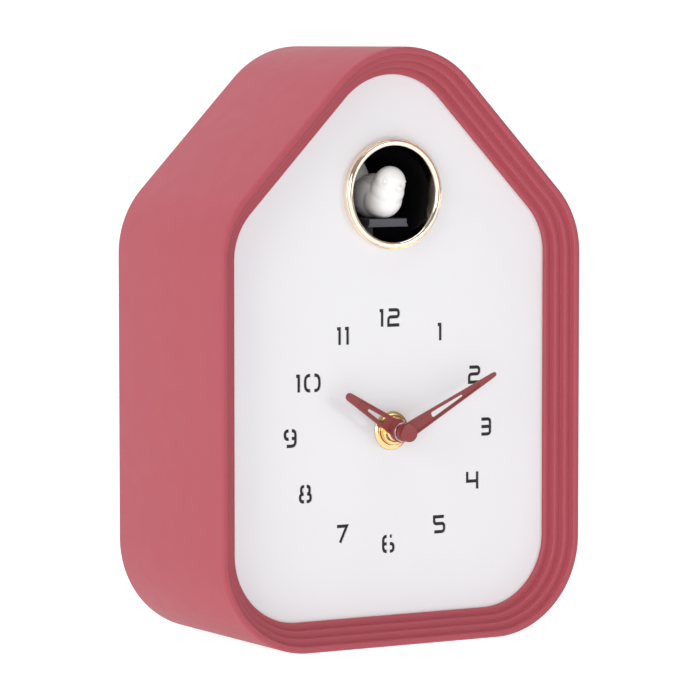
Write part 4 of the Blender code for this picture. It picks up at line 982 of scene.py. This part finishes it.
def make_camera():
    target = world(*CAMERA_TARGET)
    level = math.cos(CAMERA_ELEVATION)
    towards = Vector((-math.sin(CAMERA_AZIMUTH) * level, -math.cos(CAMERA_AZIMUTH) * level,
                      math.sin(CAMERA_ELEVATION)))
    camera = bpy.data.objects.new("camera", bpy.data.cameras.new("camera"))
    camera.data.sensor_width = 36.0
    camera.data.lens = CAMERA_LENS
    camera.data.clip_start = 0.05
    camera.location = target + CAMERA_DISTANCE * towards
    look_at(camera, target)
    bpy.context.scene.collection.objects.link(camera)
    bpy.context.scene.camera = camera


def softbox(name, place, size, watts, colour=(1.0, 1.0, 1.0)):
    """A square light aimed at the middle of the clock."""
    light = bpy.data.lights.new(name, "AREA")
    light.shape = "SQUARE"
    light.size = size
    light.energy = watts
    light.color = colour
    obj = bpy.data.objects.new(name, light)
    obj.location = place
    look_at(obj, Vector((0.0, 0.0, HEIGHT * MM / 2)))
    bpy.context.scene.collection.objects.link(obj)


def shade_room(room):
    """A white room that is dimmer level with the clock than above and below."""
    nodes, links = room.node_tree.nodes, room.node_tree.links
    coordinates = nodes.new("ShaderNodeTexCoord")
    split = nodes.new("ShaderNodeSeparateXYZ")
    ramp = nodes.new("ShaderNodeValToRGB")
    ramp.color_ramp.interpolation = "EASE"
    points = ramp.color_ramp.elements
    points[0].position, points[0].color = 0.0, (0.8, 0.8, 0.8, 1.0)
    points[1].position, points[1].color = 1.0, (1.0, 1.0, 1.0, 1.0)
    dim = points.new(0.52)
    dim.color = (0.42, 0.42, 0.42, 1.0)
    up = nodes.new("ShaderNodeMapRange")
    up.inputs["From Min"].default_value = -1.0
    links.new(coordinates.outputs["Generated"], split.inputs["Vector"])
    links.new(split.outputs["Z"], up.inputs["Value"])
    links.new(up.outputs["Result"], ramp.inputs["Fac"])
    background = nodes["Background"]
    background.inputs["Strength"].default_value = 0.42
    links.new(ramp.outputs["Color"], background.inputs["Color"])


def make_floor():
    """White paper that lies flat and curves up into a backdrop."""
    near, far, bend, top, half = -2.5, 2.2, 0.8, 3.5, 4.0
    sweep = [(near, 0.0)]
    sweep += arc((far, bend), bend, -math.pi / 2, 0.0, 16)
    sweep.append((far + bend, top))
    bm = bmesh.new()
    left, right = ([bm.verts.new((x, y, z)) for y, z in sweep] for x in (-half, half))
    for i in range(len(sweep) - 1):
        bm.faces.new((left[i], right[i], right[i + 1], left[i + 1]))
    floor = new_object("studio_floor", bm)
    floor.data.shade_smooth()
    grey = (0.25, 0.25, 0.25)
    material, shader = shader_material("studio_paper", grey, 0.9)
    vary_colour(material, shader, grey, add_noise(material, 3.0, 2.0), 0.01)
    shader.inputs["Emission Color"].default_value = (1.0, 1.0, 1.0, 1.0)
    shader.inputs["Emission Strength"].default_value = 0.92
    floor.data.materials.append(material)


def make_studio():
    """Floor, dim white room and softboxes; places in metres, power in watts."""
    scene = bpy.context.scene
    scene.view_settings.view_transform = "Standard"
    scene.view_settings.look = "None"
    room = bpy.data.worlds.new("studio")
    room.use_nodes = True
    shade_room(room)
    scene.world = room
    make_floor()
    softbox("key_right", (1.0, -1.65, 0.5), 1.5, 5)
    softbox("accent", (0.85, -1.7, 0.42), 0.35, 2.6)
    softbox("fill_left", (-1.05, -1.68, 0.34), 0.7, 7.0, (1.0, 0.98, 0.97))
    softbox("side_left", (-1.7, -0.5, 0.6), 1.1, 14.5)
    softbox("top", (0.0, 0.1, 1.9), 1.6, 21, (0.84, 0.92, 1.0))


make_camera()
make_studio()
finish_cad_nodes()
make_case()
make_dial()
make_ring()
make_chamber()
make_bird()
make_perch()
make_hands()
make_hub()
make_back()
make_door()
make_controls()
make_switch()
make_button()
make_screws()
